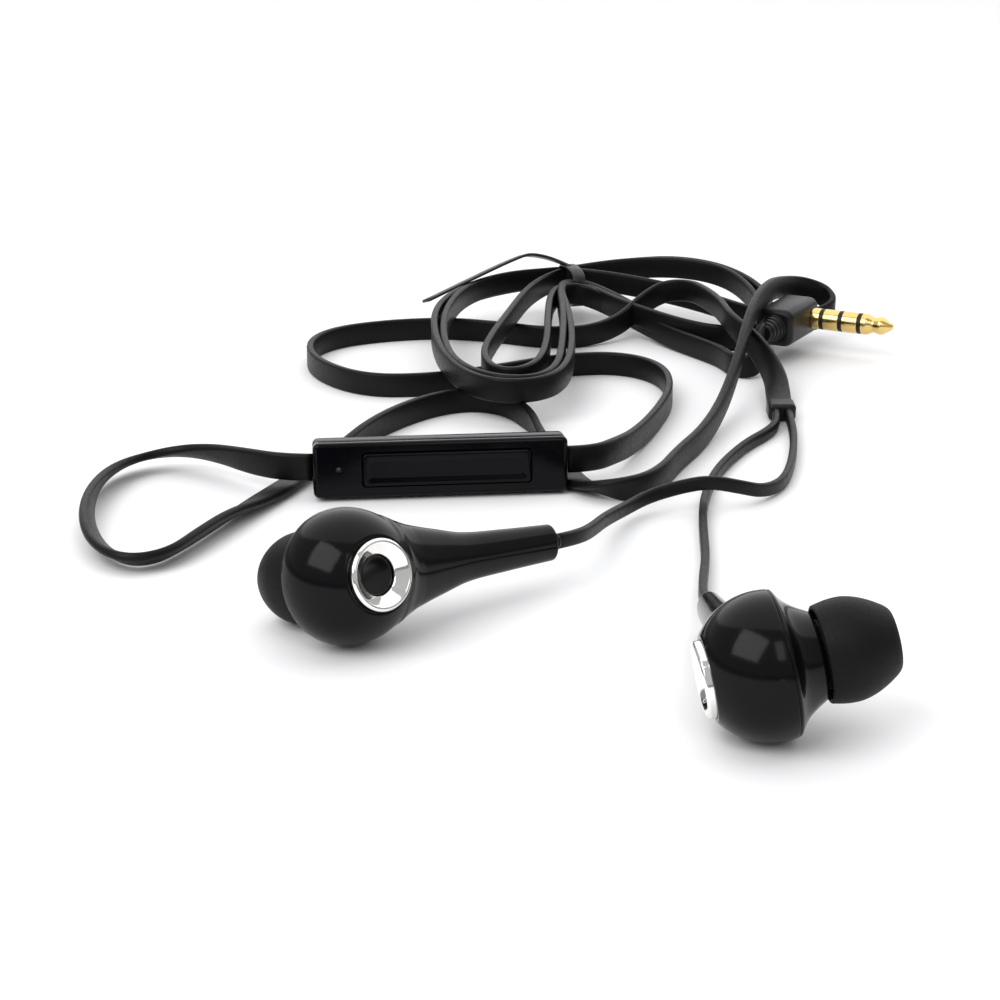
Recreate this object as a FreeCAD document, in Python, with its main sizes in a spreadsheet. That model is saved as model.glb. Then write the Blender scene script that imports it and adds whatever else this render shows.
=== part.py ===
"""Wired earphones with an inline remote, a flat cord wound into a tied hank and an angled four-pole plug.

Millimetres, +Z up, lying on the plane Z = 0.  The origin is under the middle of the two earbuds and
the remote.  Every earbud piece is drawn in the earbud's own frame and then placed: X runs along the
axis towards the ear tip with 0 at the seam, and Y runs along the stem.
"""
import FreeCAD, Part
import math
import os

import Sketcher

Vector = FreeCAD.Vector
doc = FreeCAD.newDocument("earphones")

# Driving dimensions: name, value, what it is.
SIZES = [
    ("ball_radius", 7.85, "outer radius of the rear shell's ball"),
    ("ball_back", 2.3, "ball centre behind the seam"),
    ("shell_wall", 1.0, "wall of the plastic shells"),
    ("seat_lip", 0.45, "flat land round the ring seat"),
    ("ring_radius", 4.1, "outer radius of the metal trim ring"),
    ("ring_bore", 2.35, "inner radius of the trim ring"),
    ("ring_seat", 0.9, "depth of the ring seat"),
    ("ring_proud", 0.95, "how far the ring stands behind the shell"),
    ("ring_dish", 1.1, "depth of the ring's bevelled face"),
    ("cap_thick", 0.5, "thickness of the dark centre cap"),
    ("fit_gap", 0.05, "clearance of pushed-together pieces"),
    ("stem_length", 29.5, "ball axis to the stem's end"),
    ("stem_set", 3.75, "stem axis behind the seam"),
    ("stem_end_height", 2.2, "half height of the stem's end"),
    ("stem_end_depth", 1.6, "half depth of the stem's end"),
    ("stem_bore", 0.95, "radius of the cord's way through the stem"),
    ("grommet_radius", 1.25, "radius of the cord grommet"),
    ("grommet_length", 2.2, "length of the cord grommet"),
    ("neck_radius", 4.6, "front shell at its neck"),
    ("neck_front", 2.7, "seam to the nozzle's shoulder"),
    ("lip_width", 0.5, "width of the front shell's rim band"),
    ("nozzle_radius", 2.6, "outer radius of the nozzle"),
    ("nozzle_lip", 0.2, "height of the nozzle's retaining lip"),
    ("nozzle_length", 5.6, "nozzle beyond its shoulder"),
    ("nozzle_bore", 1.9, "radius of the sound channel"),
    ("spigot_length", 1.0, "front shell's spigot inside the rear shell"),
    ("spigot_wall", 0.8, "wall of the spigot"),
    ("driver_depth", 3.4, "depth of the driver frame"),
    ("driver_wall", 0.5, "wall of the driver frame"),
    ("magnet_radius", 3.4, "radius of the driver magnet"),
    ("magnet_thick", 2.0, "thickness of the driver magnet"),
    ("board_thick", 0.6, "thickness of the small circuit boards"),
    ("mesh_thick", 0.25, "thickness of a wire mesh disc"),
    ("tip_gap", 0.1, "clearance between nozzle lip and ear tip"),
    ("tip_start", 3.1, "seam to the ear tip's skirt"),
    ("tip_length", 7.8, "length of the ear tip"),
    ("tip_radius", 5.5, "largest radius of the ear tip"),
    ("tip_wall", 0.6, "wall of the ear tip's skirt"),
    ("tip_core_wall", 0.75, "wall of the ear tip's core"),
    ("tip_mouth", 2.2, "radius of the ear tip's mouth"),
    ("remote_length", 34.6, "length of the remote"),
    ("remote_height", 7.5, "height of the remote"),
    ("remote_front", 1.8, "depth of the remote's front shell"),
    ("remote_back", 3.6, "depth of the remote's back shell"),
    ("remote_round", 0.8, "rounding of the remote's edges"),
    ("button_length", 22.7, "length of the remote's button"),
    ("button_height", 4.4, "height of the remote's button"),
    ("button_shift", 0.8, "button centre beyond the remote's centre"),
    ("button_gap", 0.15, "clearance round the button"),
    ("button_proud", 0.45, "how far the button stands out"),
    ("button_flange", 0.3, "button flange beyond the opening"),
    ("flange_thick", 0.4, "thickness of the button flange"),
    ("button_travel", 0.35, "how far the button is pressed"),
    ("switch_side", 3.0, "side of the dome switch"),
    ("cord_height", 3.8, "width of the flat main cord"),
    ("cord_diameter", 2.4, "round cord of the same stiffness"),
    ("single_diameter", 1.7, "round cord to one earbud"),
    ("pin_radius", 1.75, "radius of the plug's pin"),
    ("pin_length", 14.0, "length of the plug's pin"),
    ("sleeve_length", 1.5, "bare length of the sleeve contact"),
    ("insulator_length", 0.7, "length of one black band"),
    ("contact_length", 2.6, "length of one ring contact"),
    ("conductor_radius", 0.55, "radius of the pin's core"),
    ("insulator_wall", 0.45, "wall of the pin's insulating tube"),
    ("plug_width", 6.6, "width of the plug body"),
    ("plug_height", 6.2, "height of the plug body"),
    ("plug_length", 13.0, "length of the plug body"),
    ("relief_length", 4.5, "length of the plug's strain relief"),
    ("tie_width", 2.6, "width of the twist tie"),
    ("tie_thick", 0.6, "thickness of the twist tie"),
    ("tie_span", 7.4, "inner width of the twist tie's ring"),
    ("tie_rise", 6.2, "inner height of the twist tie's ring"),
    ("tie_tail", 38.0, "length of the twist tie's tail"),
]

sheet = doc.addObject("Spreadsheet::Sheet", "Sizes")
for row, (alias, value, note) in enumerate(SIZES, start=1):
    sheet.set("A%d" % row, alias)
    sheet.set("B%d" % row, str(value))
    sheet.setAlias("B%d" % row, alias)
    sheet.set("C%d" % row, note)
doc.recompute()


def size(alias):
    """A driving dimension as a number."""
    return float(sheet.get(alias))


def worked_out(formula):
    """The number that a formula on the sheet gives."""
    return float(sheet.evalExpression(formula))


def sheet_formula(formula):
    """The formula with each alias written as a cell of the sheet."""
    text, word = "", ""
    for letter in formula + " ":
        if letter.isalpha() or letter == "_":
            word += letter
            continue
        text += ("Sizes." + word if word in ALIASES else word) + letter
        word = ""
    return text.strip()


ALIASES = {alias for alias, value, note in SIZES}
PARTS = []


def keep(feature, node, placement=None):
    """Name a finished sub-part and put it in its place."""
    feature.Label = node
    if placement is not None:
        feature.Placement = placement
    PARTS.append(feature)
    return feature


def origin_feature(body, role):
    for feature in body.Origin.OriginFeatures:
        if feature.Role == role:
            return feature
    raise ValueError(role)


def outline_sketch(body, name, corners, arcs=None):
    """A closed outline on the body's XY plane, each corner held by two formulas.

    arcs gives, for a side that is round, its radius formula and the arc's middle point's side:
    +1 bulges away from the axis and -1 towards it.
    """
    arcs = arcs or {}
    sketch = body.newObject("Sketcher::SketchObject", name)
    sketch.AttachmentSupport = [(origin_feature(body, "XY_Plane"), "")]
    sketch.MapMode = "FlatFace"
    spots = [Vector(worked_out(x), worked_out(y), 0) for x, y in corners]
    for index, start in enumerate(spots):
        end = spots[(index + 1) % len(spots)]
        if index in arcs:
            formula, side = arcs[index]
            radius = worked_out(formula)
            arc, ends = counterclockwise_arc(start, end, radius, side)
            sketch.addGeometry(arc, False)
            sketch.addConstraint(Sketcher.Constraint("Radius", index, radius))
            hold(sketch, formula)
        else:
            sketch.addGeometry(Part.LineSegment(start, end), False)
            ends = (1, 2)
        if index == 0:
            first_ends = ends
        else:
            sketch.addConstraint(
                Sketcher.Constraint("Coincident", index - 1, last_ends[1], index, ends[0]))
        last_ends = ends
        for axis, formula, value in (("X", corners[index][0], start.x), ("Y", corners[index][1], start.y)):
            sketch.addConstraint(
                Sketcher.Constraint("Distance" + axis, -1, 1, index, ends[0], value))
            hold(sketch, formula)
    sketch.addConstraint(
        Sketcher.Constraint("Coincident", len(spots) - 1, last_ends[1], 0, first_ends[0]))
    return sketch


def counterclockwise_arc(start, end, radius, side):
    """The short arc between two corners, and which of its ends, 1 or 2, each corner is."""
    half = (end - start) * 0.5
    across = Vector(-half.y, half.x, 0).normalize()
    if (across.y < 0) == (side < 0):
        across = across * -1
    centre = start + half + across * math.sqrt(max(radius ** 2 - half.Length ** 2, 0))
    from_start, from_end = start - centre, end - centre
    first = math.atan2(from_start.y, from_start.x)
    last = math.atan2(from_end.y, from_end.x)
    ends = (1, 2)
    if from_start.cross(from_end).z < 0:
        first, last, ends = last, first, (2, 1)
    if last < first:
        last += 2 * math.pi
    circle = Part.Circle(centre, Vector(0, 0, 1), radius)
    return Part.ArcOfCircle(circle, first, last), ends


def hold(sketch, formula):
    """Bind the sketch's last dimension to the sheet."""
    sketch.setExpression("Constraints[%d]" % (sketch.ConstraintCount - 1), sheet_formula(formula))


def lathe(name, corners, arcs=None):
    """A body turned about X from an outline of (along X, radius) formulas."""
    body = doc.addObject("PartDesign::Body", name)
    sketch = outline_sketch(body, name + "_outline", corners, arcs)
    turned = body.newObject("PartDesign::Revolution", name + "_turned")
    turned.Profile = sketch
    turned.ReferenceAxis = (sketch, ["H_Axis"])
    turned.Angle = 360.0
    sketch.Visibility = False
    return body


def bind(feature, **formulas):
    """Set properties of a feature by formula; double underscores stand for dots."""
    for prop, formula in formulas.items():
        feature.setExpression(prop.replace("__", "."), sheet_formula(formula))


def box(body, name, kind, sizes, corner):
    """An additive or subtractive box of a body, by its sizes and its lowest corner."""
    feature = body.newObject("PartDesign::%sBox" % kind, name)
    feature.AttachmentSupport = [(origin_feature(body, "XY_Plane"), "")]
    feature.MapMode = "FlatFace"
    bind(feature, Length=sizes[0], Width=sizes[1], Height=sizes[2])
    bind(feature, AttachmentOffset__Base__x=corner[0], AttachmentOffset__Base__y=corner[1],
         AttachmentOffset__Base__z=corner[2])
    return feature


def round_edges(body, name, base, formula, wanted):
    """Fillet the edges of the body's last feature that a test picks out."""
    doc.recompute()
    names = ["Edge%d" % (i + 1) for i, edge in enumerate(base.Shape.Edges) if wanted(edge)]
    fillet = body.newObject("PartDesign::Fillet", name)
    fillet.Base = (base, names)
    bind(fillet, Radius=formula)
    return fillet


def cylinder(name, radius, length, base, axis):
    """A round Part cylinder along an axis, from formulas."""
    feature = doc.addObject("Part::Cylinder", name)
    bind(feature, Radius=radius, Height=length)
    turn = FreeCAD.Rotation(Vector(0, 0, 1), Vector(*axis))
    feature.Placement = FreeCAD.Placement(Vector(0, 0, 0), turn)
    bind(feature, Placement__Base__x=base[0], Placement__Base__y=base[1], Placement__Base__z=base[2])
    return feature


def cut(name, base, *tools):
    """Base with each tool taken out of it."""
    for number, tool in enumerate(tools, start=1):
        feature = doc.addObject("Part::Cut", "%s_cut_%d" % (name, number))
        feature.Base, feature.Tool = base, tool
        base = feature
    return base


def turned_place(position, heading, lift, roll):
    """A placement whose X axis has a heading and a lift in degrees, then rolls about itself."""
    return FreeCAD.Placement(Vector(*position), FreeCAD.Rotation(heading, -lift, roll))


# ---------------------------------------------------------------- earbuds

BUDS = {
    "left": turned_place((-25.3, -11.0, 7.2), 131.0, -16.7, 185.0),
    "right": turned_place((23.3, -39.2, 8.3), 5.4, 10.9, -9.1),
}
# Stem sections: along the stem, centre behind the seam, half depth, half height.
STEM_SECTIONS = [
    ("4.5", "3.95", "3.85", "6.0"),
    ("8", "3.9", "3.5", "5.15"),
    ("12", "stem_set", "2.85", "3.85"),
    ("16", "stem_set", "2.35", "2.95"),
    ("stem_length * 0.75", "stem_set", "stem_end_depth + 0.4", "stem_end_height + 0.33"),
    ("stem_length", "stem_set", "stem_end_depth", "stem_end_height"),
]
SEAM = "sqrt(ball_radius ^ 2 - ball_back ^ 2)"
CAVITY = "(ball_radius - shell_wall)"
INNER_SEAM = "sqrt(%s ^ 2 - ball_back ^ 2)" % CAVITY
LAND = "(ring_radius + fit_gap + seat_lip)"
BALL_END = "(-ball_back - sqrt(ball_radius ^ 2 - %s ^ 2))" % LAND
SEAT_FLOOR = "(%s + ring_seat)" % BALL_END
CAVITY_END = "(%s + shell_wall)" % SEAT_FLOOR
CAVITY_END_RADIUS = "sqrt(%s ^ 2 - (%s + ball_back) ^ 2)" % (CAVITY, CAVITY_END)
SHOULDER = "(neck_front + 0.1)"
NOZZLE_END = "(%s + nozzle_length)" % SHOULDER
TIP_POCKET = "(nozzle_radius + nozzle_lip + tip_gap)"
DRIVER_BACK = "(-0.4 - driver_depth)"


def stem_loft(side):
    """The tapering stem, lofted through ellipses that stand across it."""
    sections = []
    for number, (along, behind, depth, height) in enumerate(STEM_SECTIONS, start=1):
        ellipse = doc.addObject("Part::Ellipse", "%s_stem_section_%d" % (side, number))
        deep, high = worked_out(depth), worked_out(height)
        if high < deep:
            raise ValueError("a stem section must be higher than it is deep")
        bind(ellipse, MajorRadius=height, MinorRadius=depth)
        ellipse.Placement = FreeCAD.Placement(
            Vector(0, 0, 0), FreeCAD.Rotation(Vector(0, 0, 1), Vector(1, 0, 0), Vector(0, 1, 0), "XYZ"))
        bind(ellipse, Placement__Base__x="-(%s)" % behind, Placement__Base__y=along)
        sections.append(ellipse)
    loft = doc.addObject("Part::Loft", side + "_stem")
    loft.Sections = sections
    loft.Solid = True
    return loft


def rear_shell(side):
    """Ball, stem and ring seat in one moulding, hollow for the driver and bored for the cord."""
    ball = lathe(side + "_ball", [
        ("0", "0"), ("0", SEAM), (BALL_END, LAND), (BALL_END, "ring_radius + fit_gap"),
        (SEAT_FLOOR, "ring_radius + fit_gap"), (SEAT_FLOOR, "0")], {1: ("ball_radius", 1)})
    cavity = lathe(side + "_cavity", [
        ("0", "0"), ("0", INNER_SEAM), (CAVITY_END, CAVITY_END_RADIUS), (CAVITY_END, "0")],
        {1: (CAVITY, 1)})
    whole = doc.addObject("Part::Fuse", side + "_rear_solid")
    whole.Base, whole.Tool = ball, stem_loft(side)
    bore = cylinder(side + "_stem_bore", "stem_bore", "stem_length", ("-stem_set", "3", "0"), (0, 1, 0))
    seat = cylinder(side + "_grommet_seat", "grommet_radius", "grommet_length + 1",
                    ("-stem_set", "stem_length - grommet_length", "0"), (0, 1, 0))
    return cut(side + "_rear", whole, cavity, bore, seat)


def front_shell(side):
    """Rim band, flared neck and nozzle, with a spigot that centres it in the rear shell."""
    spigot = "(%s - fit_gap)" % INNER_SEAM
    return lathe(side + "_front", [
        ("0", spigot), ("-spigot_length", spigot), ("-spigot_length", "%s - spigot_wall" % spigot),
        ("0.3", "%s - spigot_wall" % spigot), ("neck_front - 0.9", "neck_radius - shell_wall"),
        ("neck_front", "nozzle_bore"), (NOZZLE_END, "nozzle_bore"),
        (NOZZLE_END, "nozzle_radius"), (NOZZLE_END + " - 0.3", "nozzle_radius + nozzle_lip"),
        (NOZZLE_END + " - 0.8", "nozzle_radius + nozzle_lip"), (NOZZLE_END + " - 1.1", "nozzle_radius"),
        (SHOULDER, "nozzle_radius"), (SHOULDER, "neck_radius - 0.15"), ("neck_front - 0.1", "neck_radius"),
        ("lip_width + 0.15", "ball_radius - 1.15"), ("lip_width", SEAM + " - 0.12"),
        ("0", SEAM)], {13: ("3.2", -1)})


def trim_ring(side):
    """The bright bevelled ring in the back of the ball."""
    back = "(%s - ring_proud)" % BALL_END
    return lathe(side + "_ring", [
        (SEAT_FLOOR, "ring_bore"), (SEAT_FLOOR, "ring_radius"), (back + " + 0.25", "ring_radius"),
        (back, "ring_radius - 0.25"), (back, "ring_radius - 0.45"),
        (back + " + ring_dish", "ring_bore")])


def center_cap(side):
    """The dark disc at the bottom of the ring."""
    face = "(%s - cap_thick)" % SEAT_FLOOR
    return lathe(side + "_cap", [
        (SEAT_FLOOR, "0"), (SEAT_FLOOR, "ring_bore - fit_gap"),
        (face + " + 0.2", "ring_bore - fit_gap"), (face, "0")])


def driver_frame(side):
    """The driver's cup, with a flange inside the front shell's spigot."""
    flange = "(%s - spigot_wall - 2 * fit_gap)" % INNER_SEAM
    return lathe(side + "_frame", [
        (DRIVER_BACK, "1.2"), (DRIVER_BACK, "magnet_radius + 0.3 + driver_wall"),
        ("-1.1", "magnet_radius + 0.3 + driver_wall"), ("-1.1", flange), ("-0.4", flange),
        ("-0.4", flange + " - 0.6"), ("-0.7", flange + " - 0.6"), ("-0.7", "magnet_radius + 0.3"),
        (DRIVER_BACK + " + driver_wall", "magnet_radius + 0.3"), (DRIVER_BACK + " + driver_wall", "1.2")])


def driver_magnet(side):
    """The ring magnet on the floor of the cup."""
    floor = "(%s + driver_wall)" % DRIVER_BACK
    return lathe(side + "_magnet", [
        (floor, "1.2"), (floor, "magnet_radius"), (floor + " + magnet_thick", "magnet_radius"),
        (floor + " + magnet_thick", "1.2")])


def diaphragm(side):
    """The thin shallow dome that makes the sound."""
    edge = "(%s - spigot_wall - 2 * fit_gap - 0.65)" % INNER_SEAM
    return lathe(side + "_diaphragm", [
        ("-0.7", "0"), ("-0.7", edge), ("-0.5", edge), ("0", "0")])


def terminal_board(side):
    """The little board behind the driver where the cord's wires are soldered."""
    return lathe(side + "_board", [
        (DRIVER_BACK + " - board_thick", "0.6"), (DRIVER_BACK + " - board_thick", "magnet_radius"),
        (DRIVER_BACK, "magnet_radius"), (DRIVER_BACK, "0.6")])


def nozzle_mesh(side):
    """The wax guard just inside the nozzle."""
    face = "(%s - 0.4)" % NOZZLE_END
    return lathe(side + "_mesh", [
        (face, "0"), (face, "nozzle_bore - 0.02"), (face + " - mesh_thick", "nozzle_bore - 0.02"),
        (face + " - mesh_thick", "0")])


def ear_tip(side):
    """The soft mushroom that seals the ear, with a core that grips the nozzle."""
    end = "(tip_start + tip_length)"
    core = "(%s + tip_core_wall)" % TIP_POCKET
    return lathe(side + "_tip", [
        ("tip_start", TIP_POCKET), (NOZZLE_END + " + 0.15", TIP_POCKET),
        (NOZZLE_END + " + 0.15", "tip_mouth"), (end, "tip_mouth"), (end, "tip_radius - 2.35"),
        (end + " - 0.45", "tip_radius - 1.95"), ("tip_start + 3.2", "tip_radius"),
        ("tip_start", "tip_radius - 0.4"), ("tip_start", "tip_radius - 0.4 - tip_wall"),
        ("tip_start + 3.2", "tip_radius - tip_wall"), (NOZZLE_END + " - 0.6", core),
        ("tip_start", core)],
        {5: ("9", 1), 6: ("13", 1), 8: ("13", 1), 9: ("7", 1)})


def grommet(side):
    """The rubber grommet in the stem's end."""
    body = lathe(side + "_grommet", [
        ("-grommet_length", "0"), ("-grommet_length", "grommet_radius - fit_gap"),
        ("0.5", "grommet_radius - fit_gap"), ("0.9", "grommet_radius - 0.3"), ("0.9", "0")])
    return body


BUD_PIECES = [
    ("rear_shell", rear_shell), ("front_shell", front_shell), ("trim_ring", trim_ring),
    ("center_cap", center_cap), ("driver_frame", driver_frame), ("driver_magnet", driver_magnet),
    ("diaphragm", diaphragm), ("terminal_board", terminal_board), ("nozzle_mesh", nozzle_mesh),
    ("ear_tip", ear_tip),
]


def stem_end(side, beyond=0.0):
    """A point on the stem's axis past its end, in the part's frame."""
    return BUDS[side].multVec(Vector(-size("stem_set"), size("stem_length") + beyond, 0))


for bud_side, bud_place in BUDS.items():
    for piece_name, make in BUD_PIECES:
        keep(make(bud_side), "%s_%s" % (bud_side, piece_name), bud_place)
    along_stem = FreeCAD.Placement(
        Vector(-size("stem_set"), size("stem_length"), 0), FreeCAD.Rotation(90, 0, 0))
    keep(grommet(bud_side), bud_side + "_grommet", bud_place.multiply(along_stem))

# ---------------------------------------------------------------- remote

REMOTE = turned_place((-14.6, 42.65, 4.04), 6.0, 0.0, -6.7)
REMOTE_DEPTH = "(remote_front + remote_back)"
FACE = "(-%s / 2)" % REMOTE_DEPTH
PARTING = "(%s + remote_front)" % FACE
BACK = "(%s / 2)" % REMOTE_DEPTH
BOARD_FRONT = "(%s + flange_thick + button_travel + 1.25 + shell_wall)" % FACE
FLANGE_FACE = "(%s + shell_wall + 0.05)" % FACE


def end_edge(edge):
    """True for a remote edge that isn't on the parting plane."""
    plane = worked_out(PARTING)
    return not all(abs(v.Point.y - plane) < 1e-6 for v in edge.Vertexes)


def remote_shell(name, start, depth, inside_start, inside_depth):
    """One half of the remote's case, rounded outside and hollow inside."""
    body = doc.addObject("PartDesign::Body", name)
    block = box(body, name + "_block", "Additive", ("remote_length", depth, "remote_height"),
                ("-remote_length / 2", start, "-remote_height / 2"))
    round_edges(body, name + "_rounding", block, "remote_round", end_edge)
    box(body, name + "_inside", "Subtractive",
        ("remote_length - 2 * shell_wall", inside_depth, "remote_height - 2 * shell_wall"),
        ("-remote_length / 2 + shell_wall", inside_start, "-remote_height / 2 + shell_wall"))
    return body


def remote_front_shell():
    """The face of the remote, with the button's opening and the microphone's hole."""
    body = remote_shell("remote_front", FACE, "remote_front", FACE + " + shell_wall",
                        "remote_front - shell_wall")
    box(body, "button_opening", "Subtractive",
        ("button_length + 2 * button_gap", "shell_wall", "button_height + 2 * button_gap"),
        ("button_shift - button_length / 2 - button_gap", FACE, "-button_height / 2 - button_gap"))
    hole = cylinder("microphone_hole", "0.45", "shell_wall", (MICROPHONE_X, FACE, "0"), (0, 1, 0))
    return cut("remote_front", body, hole)


def remote_back_shell():
    """The back of the remote, with a slot in each end for the cord and two posts for the board."""
    body = remote_shell("remote_back", PARTING, "remote_back", PARTING, "remote_back - shell_wall")
    for name, corner in (("left", "-remote_length / 2"), ("right", "remote_length / 2 - shell_wall")):
        box(body, name + "_cord_slot", "Subtractive", ("shell_wall", SLOT_DEPTH, "cord_height + 0.8"),
            (corner, SLOT_FRONT, "-(cord_height + 0.8) / 2"))
    posts = [body]
    for number, spot in enumerate(("-10", "10"), start=1):
        post = cylinder("board_post_%d" % number, "1.2",
                        "%s - shell_wall - %s - board_thick" % (BACK, BOARD_FRONT),
                        (spot, BOARD_FRONT + " + board_thick", "0"), (0, 1, 0))
        posts.append(post)
    joined = doc.addObject("Part::MultiFuse", "remote_back_joined")
    joined.Shapes = posts
    return joined


MICROPHONE_X = "(button_shift - button_length / 2 - 3.3)"
SLOT_DEPTH = "1.9"
SLOT_FRONT = "(%s + 0.85)" % PARTING


def remote_button():
    """The long rocker cap and the flange that keeps it in."""
    body = doc.addObject("PartDesign::Body", "button")
    cap = box(body, "button_cap", "Additive",
              ("button_length", "button_proud + shell_wall + 0.05", "button_height"),
              ("button_shift - button_length / 2", FACE + " - button_proud", "-button_height / 2"))
    front = worked_out(FACE + " - button_proud")
    round_edges(body, "button_rounding", cap, "0.3",
                lambda edge: all(abs(v.Point.y - front) < 1e-6 for v in edge.Vertexes))
    box(body, "button_rim", "Additive",
        ("button_length + 2 * button_flange", "flange_thick", "button_height + 2 * button_flange"),
        ("button_shift - button_length / 2 - button_flange", FLANGE_FACE,
         "-button_height / 2 - button_flange"))
    return body


def plain_box(name, sizes, corner):
    """A one-box body."""
    body = doc.addObject("PartDesign::Body", name)
    box(body, name + "_block", "Additive", sizes, corner)
    return body


def remote_grommet(name, start):
    """The rubber liner of one cord slot, flush with the remote's end."""
    return plain_box(name, ("shell_wall", SLOT_DEPTH, "cord_height + 0.8"),
                     (start, SLOT_FRONT, "-(cord_height + 0.8) / 2"))


switch_front = "(%s + flange_thick + button_travel + 0.05)" % FLANGE_FACE
keep(remote_front_shell(), "remote_front_shell", REMOTE)
keep(remote_back_shell(), "remote_back_shell", REMOTE)
keep(remote_button(), "remote_button", REMOTE)
keep(plain_box("board", ("remote_length - 7", "board_thick", "remote_height - 2 * shell_wall - 0.4"),
               ("-remote_length / 2 + 3", BOARD_FRONT, "-remote_height / 2 + shell_wall + 0.2")),
     "remote_board", REMOTE)
keep(plain_box("switch", ("switch_side", BOARD_FRONT + " - " + switch_front, "switch_side"),
               ("button_shift - switch_side / 2", switch_front, "-switch_side / 2")),
     "remote_switch", REMOTE)
keep(plain_box("microphone", ("2.4", "0.9", "2.4"),
               (MICROPHONE_X + " - 1.2", BOARD_FRONT + " - 0.9", "-1.2")), "remote_microphone", REMOTE)
mesh_place = FreeCAD.Placement(
    Vector(worked_out(MICROPHONE_X), worked_out(FACE + " + shell_wall"), 0), FreeCAD.Rotation(90, 0, 0))
keep(lathe("microphone_mesh", [("0", "0"), ("0", "0.85"), ("mesh_thick", "0.85"), ("mesh_thick", "0")]),
     "remote_microphone_mesh", REMOTE.multiply(mesh_place))
keep(remote_grommet("left_end", "-remote_length / 2"), "remote_left_grommet", REMOTE)
keep(remote_grommet("right_end", "remote_length / 2 - shell_wall"), "remote_right_grommet", REMOTE)

# ---------------------------------------------------------------- plug

PLUG = turned_place((46.2, 119.5, 6.0), -28.1, 0.0, 0.0)
MIDDLE = "(-plug_width / 2)"
ABOVE_AXIS = "(plug_height / 2)"


def plug_body():
    """The angled moulding, longest away from the pin's axis, with the pin's bore in its front."""
    body = doc.addObject("PartDesign::Body", "plug")
    block = box(body, "plug_block", "Additive", ("plug_width", "plug_length", "plug_height"),
                ("-plug_width", ABOVE_AXIS + " - plug_length", "-plug_height / 2"))
    round_edges(body, "plug_rounding", block, "1.6",
                lambda edge: all(v.Point.y > 0 or v.Point.x < -1e-6 for v in edge.Vertexes))
    bore = cylinder("pin_bore", "conductor_radius + insulator_wall", "4", ("-4", "0", "0"), (1, 0, 0))
    seat = cylinder("relief_seat", "1.3", "2",
                    (MIDDLE, ABOVE_AXIS + " - plug_length", "0"), (0, 1, 0))
    return cut("plug_body", body, bore, seat)


def plug_relief():
    """The tapered strain relief, with a plug that sits in the body."""
    return lathe("relief", [
        ("-2", "0"), ("-2", "1.3 - fit_gap"), ("0", "1.3 - fit_gap"), ("0", "2.3"),
        ("relief_length - 0.4", "1.6"), ("relief_length", "1.3"), ("relief_length", "0")])


def along_pin(number):
    """Formulas for the start and end of the insulator band of that number, from 0."""
    step = "(insulator_length + contact_length)"
    start = "(sleeve_length + %d * %s)" % (number, step)
    return start, "(%s + insulator_length)" % start


def contact(name, start, end):
    """A bright ring contact round the insulator's tube."""
    return lathe(name, [
        (start, TUBE), (start, "pin_radius"), (end, "pin_radius"), (end, TUBE)])


def pin_insulator():
    """One black moulding: a tube through the pin with a band between each pair of contacts."""
    corners = [("-3.5", "conductor_radius + fit_gap"), ("-3.5", TUBE + " - fit_gap")]
    for number in range(3):
        start, end = along_pin(number)
        corners += [(start, TUBE + " - fit_gap"), (start, "pin_radius - 0.02"),
                    (end, "pin_radius - 0.02")]
        if number < 2:
            corners.append((end, TUBE + " - fit_gap"))
    corners.append((along_pin(2)[1], "conductor_radius + fit_gap"))
    return lathe("pin_insulator", corners)


def pin_tip():
    """The pointed tip contact and the core that carries it."""
    start = along_pin(2)[1]
    return lathe("pin_tip", [
        ("-4", "0"), ("-4", "conductor_radius"), (start, "conductor_radius"),
        (start, "pin_radius"), (start + " + 0.9", "pin_radius"), (start + " + 1.9", "1.2"),
        (start + " + 3.3", "1.55"), ("pin_length - 0.3", "0.6"), ("pin_length", "0.3"),
        ("pin_length", "0")])


TUBE = "(conductor_radius + insulator_wall)"
RELIEF = PLUG.multiply(FreeCAD.Placement(
    Vector(worked_out(MIDDLE), worked_out(ABOVE_AXIS + " - plug_length"), 0),
    FreeCAD.Rotation(-90, 0, 0)))
keep(plug_body(), "plug_body", PLUG)
keep(plug_relief(), "plug_strain_relief", RELIEF)
keep(contact("sleeve", "0", "sleeve_length"), "plug_sleeve", PLUG)
for ring_name, ring_after in (("plug_ring_two", 0), ("plug_ring_one", 1)):
    keep(contact(ring_name, along_pin(ring_after)[1], along_pin(ring_after + 1)[0]), ring_name, PLUG)
keep(pin_insulator(), "plug_insulator", PLUG)
keep(pin_tip(), "plug_tip", PLUG)

# ---------------------------------------------------------------- cords

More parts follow.
